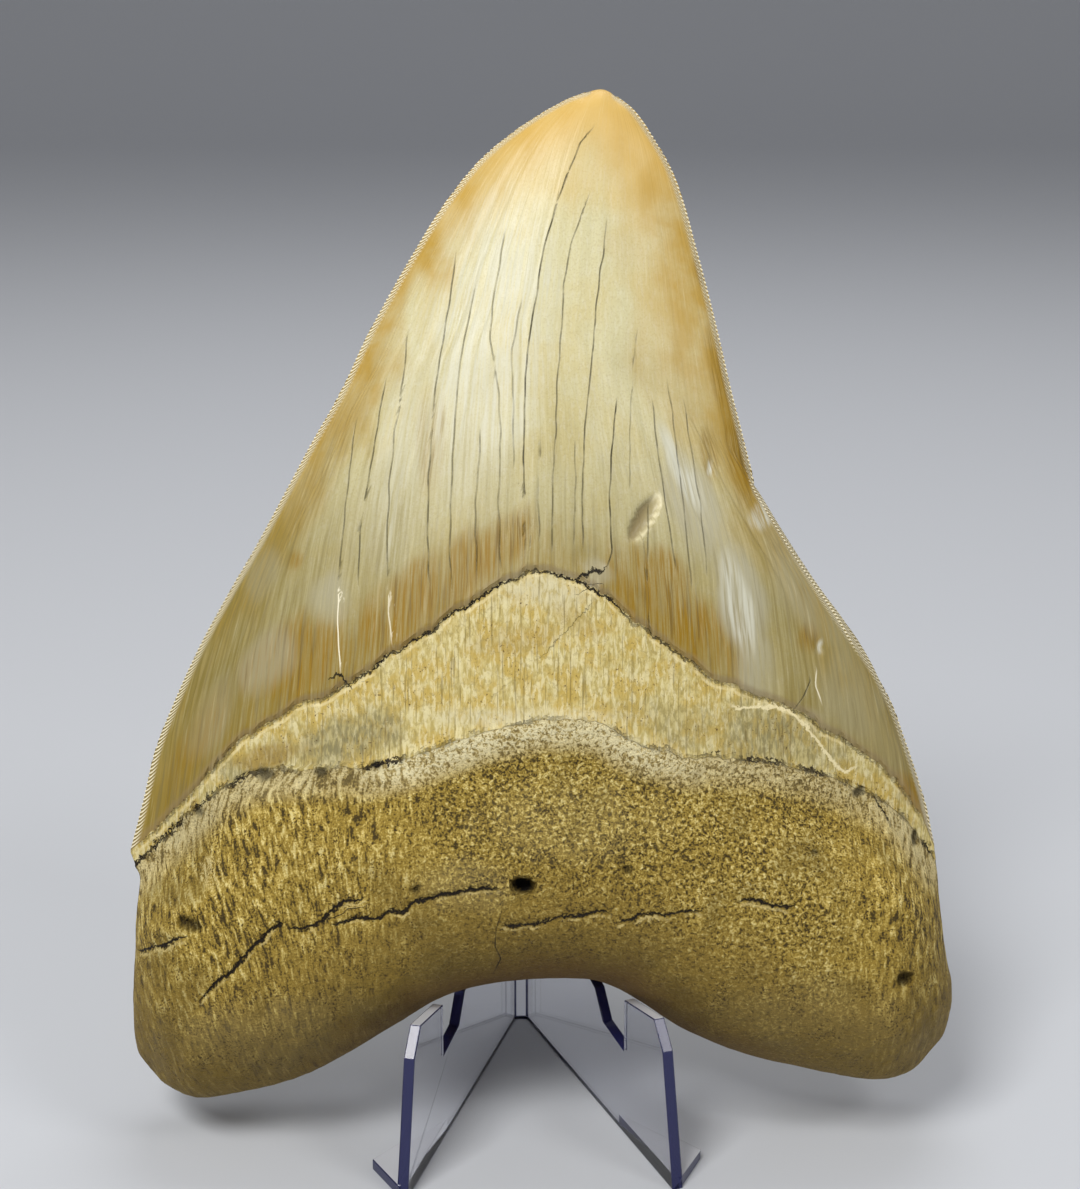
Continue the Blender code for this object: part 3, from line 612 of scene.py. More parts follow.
def wavering(curve, size, reach, seed):
    """A smooth curve as a function of the shares of its length, with a small natural waver upwards."""
    def line(shares):
        path = smooth_curve(curve, shares)
        # No waver at its ends, where it meets other curves
        fade = np.clip(np.minimum(shares, 1.0 - shares) * 25.0, 0.0, 1.0)
        lengths = np.asarray(shares) * length_of(curve)
        coarse = np.array([noise.noise(Vector((run / size, 0.0, seed))) for run in lengths])
        fine = np.array([noise.noise(Vector((run / size * 3.1, 5.0, seed))) for run in lengths])
        path[:, 1] += reach * fade * (coarse + 0.7 * fine)
        return path
    return line


def tooth_sheet():
    """The tooth's grid: its points in the plane, with each one's zone, side and length along the edges."""
    columns = np.linspace(0.0, 1.0, COLUMNS + 1)
    side = 2.0 * columns - 1.0
    columns = 0.5 + 0.5 * np.sign(side) * (1.0 - (1.0 - np.abs(side)) ** 1.1)
    root_rows = np.linspace(0.0, 1.0, ROOT_ROWS + 1) ** 1.2
    bourlette_rows = np.linspace(0.0, 1.0, BOURLETTE_ROWS + 1)
    crown_rows = 1.0 - (1.0 - np.linspace(0.0, 1.0, CROWN_ROWS + 1)) ** 1.05
    root_top = wavering(ROOT_TOP, 3.0, 0.55, 2.0)
    enamel_line = wavering(ENAMEL_LINE, 3.4, 0.75, 7.0)
    underside = wavering(UNDERSIDE, 5.0, 0.0, 1.0)
    tip = wavering(TIP, 1.0, 0.0, 1.0)
    left_low = ROOT_LEFT[:-1] + [ROOT_TOP[0]]
    right_low = ROOT_RIGHT[:-1] + [ROOT_TOP[-1]]
    root = patch(underside, root_top, left_low, right_low, columns, root_rows)
    bourlette = patch(root_top, enamel_line, between(ROOT_TOP[0], ENAMEL_LINE[0], 0.5),
                      between(ROOT_TOP[-1], ENAMEL_LINE[-1], 0.5), columns, bourlette_rows)
    crown = patch(enamel_line, tip, LEFT_EDGE, RIGHT_EDGE, columns, crown_rows)
    lines = {"root": bourlette[0].copy(), "enamel": bourlette[-1].copy()}
    # The recess between root and enamel starts and ends a ledge's width inside its own lines
    room = np.clip((bourlette[-1, :, 1] - bourlette[0, :, 1]) / 4, 0.0, LEDGE_WIDTH / 2)
    bourlette[..., 1] += room * (1.0 - 2.0 * bourlette_rows[:, None])
    points = np.concatenate([root, bourlette, crown])
    zone = np.concatenate([root_rows, 1.0 + bourlette_rows, 2.0 + crown_rows])
    share = np.clip(zone - 2.0, 0.0, 1.0)[:, None]
    run = np.where(columns[None, :] < 0.5, share * length_of(LEFT_EDGE), share * length_of(RIGHT_EDGE))
    return points, zone, 2.0 * columns - 1.0, run, lines


def depths(points, zone, side, front):
    """Depth of one face over the whole sheet."""
    zone = zone[:, None]
    side = np.abs(side)[None, :]
    root = np.clip(zone, 0.0, 1.0)
    bourlette = np.clip(zone - 1.0, 0.0, 1.0)
    crown = np.clip(zone - 2.0, 0.0, 1.0)
    if front:
        base = FRONT_ROOT_DEPTH + (FRONT_BOURLETTE_DEPTH - FRONT_ROOT_DEPTH) * smoothstep(0.4, 1.0, root)
        base = base + (FRONT_CROWN_DEPTH - FRONT_BOURLETTE_DEPTH) * bourlette
        top = FRONT_CROWN_DEPTH
        underside, flank = FRONT_UNDERSIDE_RADIUS, FRONT_SIDE_RADIUS
        lens = (1.0 - side ** 2.2) ** 1.1
    else:
        base = BACK_ROOT_DEPTH + (BACK_CROWN_DEPTH - BACK_ROOT_DEPTH) * smoothstep(0.5, 1.0, root)
        top = BACK_CROWN_DEPTH
        underside, flank = BACK_UNDERSIDE_RADIUS, BACK_SIDE_RADIUS
        lens = (1.0 - side ** 2.6) ** 0.9
    taper = (1.0 - crown) ** 0.85
    height = np.where(zone <= 2.0, base, TIP_DEPTH + (top - TIP_DEPTH) * taper)
    height = height * (1.0 - LOBE_THINNING * side ** 2 * (1.0 - smoothstep(1.0, 2.2, zone)))
    sides = np.minimum(curve_distance(points, ROOT_LEFT), curve_distance(points, ROOT_RIGHT))
    blend = smoothstep(0.65, 1.0, root)
    across = (1.0 - blend) * rim(sides, flank) + blend * lens
    return (height * across * rim(curve_distance(points, UNDERSIDE), underside)
            * rim(curve_distance(points, TIP), TIP_RADIUS))


def square_gap(aside, along, line_along, line_aside, reach):
    """Distance beside a line, measured square to it. Its slope is taken over reach to either side."""
    middle, ahead, behind = (np.interp(along + step, line_along, line_aside)
                             for step in (0.0, reach, -reach))
    return (aside - middle) / np.sqrt(1.0 + ((ahead - behind) / (2.0 * reach)) ** 2)


def faded_ends(along, start, end, before, fade):
    """1 along a crack, and smoothly 0 from its ends on."""
    begun = smoothstep(start - before, start + fade, along)
    return begun * (1.0 - smoothstep(end - fade, end + before, along))


def hairlines(points):
    """Distance to the nearest upward crack, its sign turned at every crack, and that crack's strength."""
    nearest = np.full(points.shape[:-1], FAR)
    sign = np.ones(points.shape[:-1])
    strength = np.zeros(points.shape[:-1])
    heights = points[..., 1]
    steps = np.arange(BELOW_TOOTH, ABOVE_TOOTH, 0.25)
    for number, (power, line) in enumerate(HAIRLINES):
        line = np.array(line)
        line = line[np.argsort(line[:, 1])]
        low, high = line[0, 1], line[-1, 1]
        fade = min(1.6, 0.2 * (high - low))
        # Past its ends the path runs on, out of the way of the others, and carries no crack
        path = np.vstack([(line[0, 0] + 1.3, BELOW_TOOTH), (line[0, 0] + 1.3, low - 4.0), line,
                          (TIP_ACROSS + 0.3 * (line[-1, 0] - TIP_ACROSS), ABOVE_TOOTH)])
        waver = [HAIR_WAVER * noise.noise(Vector((step / HAIR_WAVER_LENGTH, number, 4.0))) for step in steps]
        aside = points[..., 0] - np.interp(heights, steps, waver)
        gap = square_gap(aside, heights, path[:, 1], path[:, 0], 1.0)
        closer = np.abs(gap) < nearest
        nearest = np.where(closer, np.abs(gap), nearest)
        strength = np.where(closer, power * faded_ends(heights, low, high, 0.5, fade), strength)
        sign = sign * np.where(gap < 0.0, -1.0, 1.0)
    return nearest * sign, strength


def running_cracks(points):
    """Signed distance to the nearest crack that runs across, and that crack's strength."""
    gap = np.full(points.shape[:-1], FAR)
    strength = np.zeros(points.shape[:-1])
    across = points[..., 0]
    aside = points[..., 1] + SEAM_WAVER * texture(points, SEAM_WAVER_LENGTH, 31.0)
    for power, line in RUNNING_CRACKS:
        line = np.array(line)
        start, end = line[0, 0], line[-1, 0]
        found = square_gap(aside, across, line[:, 0], line[:, 1], 0.5)
        fade = min(1.5, 0.3 * (end - start))
        here = (across >= start - 0.5) & (across <= end + 0.5) & (np.abs(found) < np.abs(gap))
        gap = np.where(here, found, gap)
        strength = np.where(here, power * faded_ends(across, start, end, 0.3, fade), strength)
    return gap, np.where(np.abs(gap) < 2.0, strength, 0.0)


def relief(points, zone, side, depth, seam, seam_strength, root_mm, enamel_mm, front):
    """The low relief: root lumps, fibres and grain, the recessed bourlette, ledges, pits and chips."""
    zone = zone[:, None]
    across = points[..., 0]
    inner = 1.0 - np.abs(side)[None, :] ** 8
    seed = 40.0 if front else 60.0
    on_root = np.where(zone <= 1.0, 1.0, 0.0) if front else smoothstep(0.15, -0.25, root_mm)
    rough = on_root * np.clip(depth / 3.0, 0.0, 1.0)
    depth = depth + LUMP_HEIGHT * rough * texture(points, LUMP_LENGTH, 3.0 if front else 9.0)
    knobs = texture(points, KNOB_LENGTH, seed)
    fibres = np.abs(texture(points, FIBRE_WIDTH, seed + 1.0, FIBRE_STRETCH))
    grain = texture(points, GRAIN_LENGTH, seed + 2.0)
    patchy = 0.5 + 0.5 * texture(points, 14.0, seed + 3.0)
    # Fibres show on the outer halves of the lobes and hardly in the middle
    fibrous = np.clip(smoothstep(-5.0, -28.0, across) + smoothstep(30.0, 48.0, across), 0.25, 1.0)
    depth = depth + rough * (KNOB_HEIGHT * knobs + GRAIN_HEIGHT * grain
                             - FIBRE_HEIGHT * fibrous * (0.35 - fibres) * (0.4 + patchy))
    if not front:
        between_lines = smoothstep(-0.4, 0.0, root_mm) * smoothstep(0.4, 0.0, enamel_mm)
        return depth - BACK_BAND_RECESS * inner * between_lines
    banded = np.where((zone > 1.0) & (zone <= 2.0), 1.0, 0.0)
    ripple = texture(points, RIPPLE_WIDTH, seed + 4.0, RIPPLE_STRETCH)
    depth = depth + inner * banded * (RIPPLE_HEIGHT * ripple - BOURLETTE_RECESS)
    # A crack runs under the enamel's edge, and a broken one under the bourlette
    under_enamel = np.exp(-((enamel_mm + 0.35) / ENAMEL_CRACK_WIDTH) ** 2)
    depth = depth - ENAMEL_CRACK * inner * under_enamel * (0.75 + 0.5 * texture(points, 4.0, seed + 5.0))
    broken = np.clip(0.5 + 1.2 * texture(points, 6.0, seed + 6.0), 0.0, 1.0)
    depth = depth - RIM_CRACK * inner * broken * np.exp(-((root_mm - 0.3) / RIM_CRACK_WIDTH) ** 2)
    # The root's upper rim is raised and crumbly in the middle
    middle = smoothstep(-12.0, -4.0, across) * smoothstep(26.0, 18.0, across)
    crumbs = 0.6 + 0.8 * texture(points, CRUMB_LENGTH, seed + 7.0)
    depth = depth + on_root * CRUMB_HEIGHT * middle * crumbs * np.exp(-((root_mm + 1.0) / 1.0) ** 2)
    cracked = np.clip(seam_strength, 0.0, 1.0) * np.exp(-(seam / SEAM_CRACK_WIDTH) ** 2)
    depth = depth - rough * SEAM_CRACK * cracked
    for *ellipse, drop, turn in PITS.values():
        depth = depth - drop * np.sqrt(np.clip(spot(points, *ellipse, turn), 0.0, 1.0))
    return depth


def masks(points, edge_mm, front):
    """Where the front's and back's colours change: each is from 0 to 1 over the sheet."""
    across, height = points[..., 0], points[..., 1]
    ragged = texture(points, 5.0, 71.0, 1.6) + 0.6 * texture(points, 2.0, 72.0, 2.5)
    underside_mm = curve_distance(points, UNDERSIDE)
    found = {}
    # Enamel: warm at the tip, golden beside the cutting edges, and darker with painted shade towards the
    # lower corners
    found["warm"] = smoothstep(118.0, 140.0, height + 4.0 * ragged + 0.25 * np.abs(across - 6.0))
    reach = 9.0 + 8.0 * smoothstep(4.0, 16.0, across) * smoothstep(84.0, 97.0, height)
    found["gold"] = smoothstep(reach, 0.0, edge_mm + 3.5 * ragged)
    # Painted shade, darkening the crown towards its lower corners
    corners = smoothstep(12.0, 48.0, np.abs(across) + 6.0 * ragged) * smoothstep(96.0, 72.0, height)
    found["lower_corner_shade"] = smoothstep(112.0, 62.0 + 8.0 * corners, height + 5.0 * ragged) * (0.74 + 0.26 * corners)
    # The olive band above the enamel's lower edge, weaker at the right, far left and middle
    found["band"] = (1.0 - 0.8 * smoothstep(19.0, 27.0, across + 3.0 * ragged)
                     - 0.3 * smoothstep(-34.0, -44.0, across) - 0.4 * np.exp(-((across - 1.0) / 8.0) ** 2))
    found["amber"] = stains(points, AMBER if front else BACK_AMBER, ragged)
    found["ash"] = stains(points, ASH if front else ASH[-2:], ragged)
    found["chalk"] = stains(points, CHALK if front else CHALK[-1:], ragged * 0.6)
    # Root: darker towards its underside, partly its own browner colour and partly painted shade where it
    # curves under, rusty there in the middle, and fibrous on the lobes
    found["dark"] = smoothstep(24.0, 4.0, underside_mm + 3.0 * ragged)
    found["rust"] = (smoothstep(7.0, 1.0, underside_mm + 2.0 * ragged)
                     * smoothstep(42.0, 12.0, np.abs(across - 2.0)))
    fibrous = smoothstep(-8.0, -26.0, across + 4.0 * ragged) + smoothstep(34.0, 50.0, across)
    found["fibrous"] = np.clip(fibrous, 0.0, 1.0)
    # The dark gap under the enamel's edge and the one above the root, each broken here and there
    weaker_outside = np.clip(1.1 - smoothstep(14.0, 30.0, np.abs(across + 4.0)) * 0.7, 0.0, 1.0)
    broken = 0.5 + 1.1 * texture(points, 4.5, 73.0)
    found["rift"] = weaker_outside * np.clip(broken + 0.45, 0.3, 1.0)
    middle = smoothstep(-20.0, -12.0, across) * smoothstep(26.0, 14.0, across)
    split = 0.5 + 1.6 * texture(points, 3.0, 74.0) + 0.25 * smoothstep(-16.0, -24.0, across)
    found["split"] = np.clip(split, 0.0, 1.0) * (1.0 - 0.55 * middle)
    pale = smoothstep(-26.0, -18.0, across + 3.0 * ragged) * smoothstep(24.0, 12.0, across)
    found["rim_pale"] = 0.45 + 0.55 * pale
    # Pits are darkened with painted shade, the foramen the most. The gouge's floor is partly its own darker
    # colour, with painted shade on its left wall, and its right lip has a painted highlight
    found["pit"] = np.zeros(points.shape[:-1])
    if front:
        for name, (*ellipse, _, turn) in PITS.items():
            if name not in SMOOTH_PITS:
                shape = spot(points, *ellipse, turn) + 0.5 * ragged
                # The pits' darkness is painted shade, deepest in the foramen
                darkness = 1.0 if name == "foramen" else 0.75
                found["pit"] = np.maximum(found["pit"], smoothstep(-0.1, 0.5, shape) * darkness)
    *ellipse, _, turn = PITS["gouge"]
    gouge = spot(points, *ellipse, turn) + 0.4 * ragged
    lit_side = smoothstep(-0.6, 0.8, across - ellipse[0] - 0.35 * (height - ellipse[1]))
    found["gouge_and_wall_shade"] = smoothstep(0.0, 0.3, gouge) * (0.85 - 0.5 * lit_side) * front
    found["gouge_lip_highlight"] = np.exp(-((gouge - 0.15) / 0.22) ** 2) * (0.1 + 0.9 * lit_side) * front
    return found


def grid_piece(name, points, depth, fields, grain, step=1):
    """A grid primitive bent to every step-th point of the sheet, with its fields as attributes."""
    points, depth, grain = points[::step, ::step], depth[::step, ::step], grain[::step, ::step]
    fields = {key: field[::step, ::step] for key, field in fields.items()}
    rows, columns = points.shape[0] - 1, points.shape[1] - 1
    deselect()
    bpy.ops.mesh.primitive_grid_add(x_subdivisions=columns, y_subdivisions=rows, size=2.0)
    made = bpy.context.object
    made.name = name
    mesh = made.data
    flat = np.empty(len(mesh.vertices) * 3, dtype=np.float32)
    mesh.vertices.foreach_get("co", flat)
    flat = flat.reshape(-1, 3)
    column = np.rint((flat[:, 0] + 1.0) / 2.0 * columns).astype(int)
    row = np.rint((flat[:, 1] + 1.0) / 2.0 * rows).astype(int)
    places = np.stack([points[row, column, 0], -depth[row, column], points[row, column, 1]], axis=-1)
    mesh.vertices.foreach_set("co", (places * MM).astype(np.float32).ravel())
    fields = {**fields, "sheet_row": step * np.arange(rows + 1)[:, None] * np.ones(columns + 1),
              "sheet_column": step * np.arange(columns + 1) * np.ones((rows + 1, 1))}
    for key, field in fields.items():
        mesh.attributes.new(key, "FLOAT", "POINT").data.foreach_set(
            "value", field[row, column].astype(np.float32))
    mesh.attributes.new("grain", "FLOAT_VECTOR", "POINT").data.foreach_set(
        "vector", grain[row, column].astype(np.float32).ravel())
    mesh.update()
    return made


def values_of(mesh, name):
    found = np.empty(len(mesh.vertices), dtype=np.float32)
    mesh.attributes[name].data.foreach_get("value", found)
    return found


def places_of(mesh):
    found = np.empty(len(mesh.vertices) * 3, dtype=np.float32)
    mesh.vertices.foreach_get("co", found)
    return found.reshape(-1, 3).astype(float)


def set_places(mesh, places):
    mesh.vertices.foreach_set("co", places.astype(np.float32).ravel())
    mesh.update()


def rim_edges(mesh, flags):
    """Which edges join two vertices that both have the flag."""
    ends = np.empty(len(mesh.edges) * 2, dtype=np.int32)
    mesh.edges.foreach_get("vertices", ends)
    ends = ends.reshape(-1, 2)
    return (flags[ends[:, 0]] > 0.99) & (flags[ends[:, 1]] > 0.99)


def serrate(mesh):
    """Moves the cutting edges' fine vertices onto the real curve, and inwards between the serrations."""
    places = places_of(mesh)
    flags = values_of(mesh, "cutting_edge")
    run = values_of(mesh, "edge_run")
    hands = values_of(mesh, "hand")
    for curve, hand in ((LEFT_EDGE, -1.0), (RIGHT_EDGE, 1.0)):
        total = length_of(curve)
        shares = np.linspace(0.0, 1.0, 2400)
        path = smooth_curve(curve, shares)
        along = np.gradient(path, axis=0)
        along /= np.linalg.norm(along, axis=1)[:, None]
        inward = np.stack([-hand * along[:, 1], hand * along[:, 0]], axis=-1)
        chosen = np.where((flags > 0.99) & (hands * hand > 0.0))[0]
        share = run[chosen] / total
        # Wear makes some serrations shallower, and they end just short of the root and the tip
        wear = np.array([noise.noise(Vector((value * 0.15, hand, 8.0))) for value in run[chosen]])
        wave = np.abs(np.sin(pi * run[chosen] / SERRATION_PITCH)) ** 0.7
        depth = SERRATION_DEPTH * (1.0 - wave) * (0.85 + 0.5 * wear) * smoothstep(0.0, 0.04, share)
        depth *= 1.0 - smoothstep(0.94, 0.99, share)
        for axis, target in ((0, 0), (1, 2)):
            base = np.interp(share, shares, path[:, axis])
            shift = np.interp(share, shares, inward[:, axis])
            places[chosen, target] = (base + shift * depth) * MM
    set_places(mesh, places)


def upright(mesh):
    """Leans the finished tooth back and sets it at its place."""
    mesh.transform(Matrix.Translation(Vector((0.0, FOOT_Y, FOOT_Z)) * MM) @ Matrix.Rotation(-LEAN, 4, "X"))


def meet_rim(back_face, points):
    """Cuts the back's open rim once, and sets it on the rim of the finer front."""
    mesh = back_face.data
    lookup = np.empty(len(mesh.loops), dtype=np.int32)
    mesh.loops.foreach_get("edge_index", lookup)
    open_rim = np.bincount(lookup, minlength=len(mesh.edges)) == 1
    edit_edges(back_face, open_rim, bpy.ops.mesh.subdivide, number_cuts=1)
    places = places_of(mesh)
    row, column = values_of(mesh, "sheet_row"), values_of(mesh, "sheet_column")
    last_row, last_column = points.shape[0] - 1, points.shape[1] - 1
    on_rim = (row < 0.01) | (row > last_row - 0.01) | (column < 0.01) | (column > last_column - 0.01)
    flat = points[np.rint(row[on_rim]).astype(int), np.rint(column[on_rim]).astype(int)] * MM
    places[on_rim] = np.stack([flat[:, 0], np.zeros(len(flat)), flat[:, 1]], axis=-1)
    set_places(mesh, places)


def inside_node(mesh, name):
    """Keeps every vertex inside the box of the CAD node that the piece replaces."""
    low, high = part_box(name)
    set_places(mesh, np.clip(places_of(mesh), np.array(low), np.array(high)))


def tooth():
    """The tooth as two bent grids, front and back, joined at their rim, with serrated cutting edges."""
    points, zone, side, run, lines = tooth_sheet()
    outline = np.minimum(curve_distance(points, LEFT_EDGE), curve_distance(points, RIGHT_EDGE))
    # Inner columns make room for the serrations, which are cut into the outline
    in_crown = np.clip(zone - 2.0, 0.0, 0.02)[:, None] / 0.02
    pull = SERRATION_DEPTH * in_crown * np.clip(1.0 - outline / SERRATION_REACH, 0.0, 1.0)
    pull[:, 0] = pull[:, -1] = 0.0
    points[..., 0] -= np.sign(side)[None, :] * pull
    edge = np.zeros_like(run)
    edge[zone >= 2.0, 0] = edge[zone >= 2.0, -1] = 1.0
    # The enamel's and root's streaks run upwards, and lean outwards on the left lobe
    leaning = 0.28 * (points[..., 1] - 28.0) * smoothstep(-16.0, -44.0, points[..., 0])
    width = side[None, :] * 22.0 + 0.6 * points[..., 0] + leaning * smoothstep(1.05, 0.9, zone[:, None])
    seam, seam_strength = running_cracks(points)
    hair, hair_strength = hairlines(points)
    shared = {"edge_mm": outline, "edge_run": run, "cutting_edge": edge, "seam_mm": seam, "hair_mm": hair,
              "hand": np.broadcast_to(np.sign(side)[None, :], run.shape)}
    back_shares = np.linspace(0.0, 1.0, 200)
    back_lines = {"root": wavering(BACK_ROOT_TOP, 4.0, 0.5, 12.0)(back_shares),
                  "enamel": wavering(BACK_ENAMEL_LINE, 4.0, 0.5, 17.0)(back_shares)}
    faces = []
    for name, front, drawn, step in (("fossil_tooth", True, lines, 1),
                                     ("fossil_tooth_back", False, back_lines, 2)):
        root_mm, enamel_mm = distance_to(points, drawn["root"]), distance_to(points, drawn["enamel"])
        depth = depths(points, zone, side, front)
        depth = relief(points, zone, side, depth, seam, seam_strength, root_mm, enamel_mm, front)
        depth = np.maximum(depth, THINNEST)
        depth[0], depth[-1], depth[:, 0], depth[:, -1] = 0.0, 0.0, 0.0, 0.0
        # The age cracks are on the front alone
        fields = {**masks(points, outline, front), **shared, "enamel_mm": enamel_mm, "root_mm": root_mm,
                  "seam_strength": seam_strength * front, "hair_strength": hair_strength * front}
        grain = np.stack([width, points[..., 1], np.full_like(run, 0.0 if front else 500.0)], axis=-1)
        faces.append(grid_piece(name, points, depth if front else -depth, fields, grain, step))
    made, back_face = faces
    meet_rim(back_face, points)
    pick(made, back_face)
    bpy.ops.object.join()
    edit_whole((bpy.ops.mesh.remove_doubles, {"threshold": MERGE}))
    mesh = made.data
    cutting = rim_edges(mesh, values_of(mesh, "cutting_edge"))
    edit_edges(made, cutting, bpy.ops.mesh.subdivide, number_cuts=SERRATION_CUTS)
    serrate(mesh)
    edit_whole((bpy.ops.mesh.normals_make_consistent, {"inside": False}))
    upright(mesh)
    inside_node(mesh, "tooth")
    bpy.ops.object.shade_smooth_by_angle(angle=radians(60))
    return made


def placed(x_axis, y_axis, z_axis, origin):
    turn = Matrix((x_axis, y_axis, z_axis)).transposed().to_4x4()
    return Matrix.Translation(origin) @ turn


def sheet_piece(name, outline, place):
    """A flat piece of the clear sheet: a filled circle, its corners drawn out to the outline, extruded."""
    deselect()
    bpy.ops.mesh.primitive_circle_add(vertices=len(outline), fill_type="NGON", radius=1.0)
    made = bpy.context.object
    made.name = name
    for vertex, (x, y) in zip(made.data.vertices, outline):
        vertex.co = Vector((x, y, -SHEET / 2)) * MM
    thickness = {"TRANSFORM_OT_translate": {"value": (0.0, 0.0, SHEET * MM)}}
    edit_whole((bpy.ops.mesh.extrude_region_move, thickness),
               (bpy.ops.mesh.normals_make_consistent, {"inside": False}))
    made.data.transform(place)
    return made


def stand():
    """The back strip, joined with two wings and their side feet."""
    half = (STRIP_WIDTH + SHEET / 2) / 2
    up = Vector((0.0, 0.0, 1.0))
    ahead = Vector((0.0, -1.0, 0.0))
    strip = [(-half, 0.0), (half, 0.0), (half, STRIP_HEIGHT), (-half, STRIP_HEIGHT)]
    made = sheet_piece("display_stand", strip, placed(Vector((1.0, 0.0, 0.0)), up, ahead, Vector()))
    for hand in (-1.0, 1.0):
        forward = Vector((hand * sin(WING_ANGLE), -cos(WING_ANGLE), 0.0))
        outward = Vector((hand * cos(WING_ANGLE), sin(WING_ANGLE), 0.0))
        start = Vector((hand * STRIP_WIDTH / 2, 0.0, 0.0)) * MM
        wing = sheet_piece("wing", WING, placed(forward, up, forward.cross(up), start))
        lift = start + up * SHEET / 2 * MM
        foot = sheet_piece("foot", SIDE_FOOT, placed(forward, outward, forward.cross(outward), lift))
        for piece in (wing, foot):
            apply_modifier(made, "BOOLEAN", operation="UNION", solver="EXACT", object=piece)
            bpy.data.objects.remove(piece, do_unlink=True)
    merged = (bpy.ops.mesh.remove_doubles, {"threshold": WELD})
    edit_whole(merged, (bpy.ops.mesh.dissolve_limited, {"angle_limit": radians(1)}))
    apply_modifier(made, "BEVEL", width=EDGE_ROUNDING * MM, segments=2, use_clamp_overlap=False,
                   limit_method="ANGLE", angle_limit=CORNER_ANGLE)
    made.data.transform(Matrix.Translation(Vector((STAND_X, STAND_Y, 0.0)) * MM)
                        @ Matrix.Rotation(STAND_TURN, 4, "Z"))
    inside_node(made.data, "stand")
    edit_whole(merged, (bpy.ops.mesh.dissolve_degenerate, {"threshold": WELD}))
    bpy.ops.object.shade_flat()
    # Finish 0 is for the sheet's faces, 1 for its sawn edges with their painted dark blue, and 2 for what
    # lies level, painted milky pale for the lit floor under it
    for face in made.data.polygons:
        corners = [made.data.vertices[index].co for index in face.vertices]
        girth = sum((corner - corners[place - 1]).length for place, corner in enumerate(corners))
        if face.normal.z > LEVEL and face.center.y < PALE_TOPS_BEFORE * MM:
            face.material_index = 2
        elif 2 * face.area < EDGE_SHARE * SHEET * MM * girth:
            face.material_index = 1
    return made


def linear(colour):
    """An sRGB hex colour as linear RGBA."""
    parts = [int(colour[start:start + 2], 16) / 255 for start in (1, 3, 5)]
    return (*[part / 12.92 if part <= 0.04045 else ((part + 0.055) / 1.055) ** 2.4 for part in parts], 1.0)


def node(tree, kind, inputs=(), output=0, **settings):
    """Adds a node and gives back one of its outputs. Each input is a value or another node's output."""
    made = tree.nodes.new("ShaderNode" + kind)
    for name, value in settings.items():
        setattr(made, name, value)
    for socket, value in dict(inputs).items():
        if isinstance(value, bpy.types.NodeSocket):
            tree.links.new(value, made.inputs[socket])
        else:
            made.inputs[socket].default_value = value
    return made.outputs[output] if made.outputs else None


def new_material(name):
    made = bpy.data.materials.new(name)
    made.use_nodes = True
    made.node_tree.nodes.clear()
    return made, made.node_tree


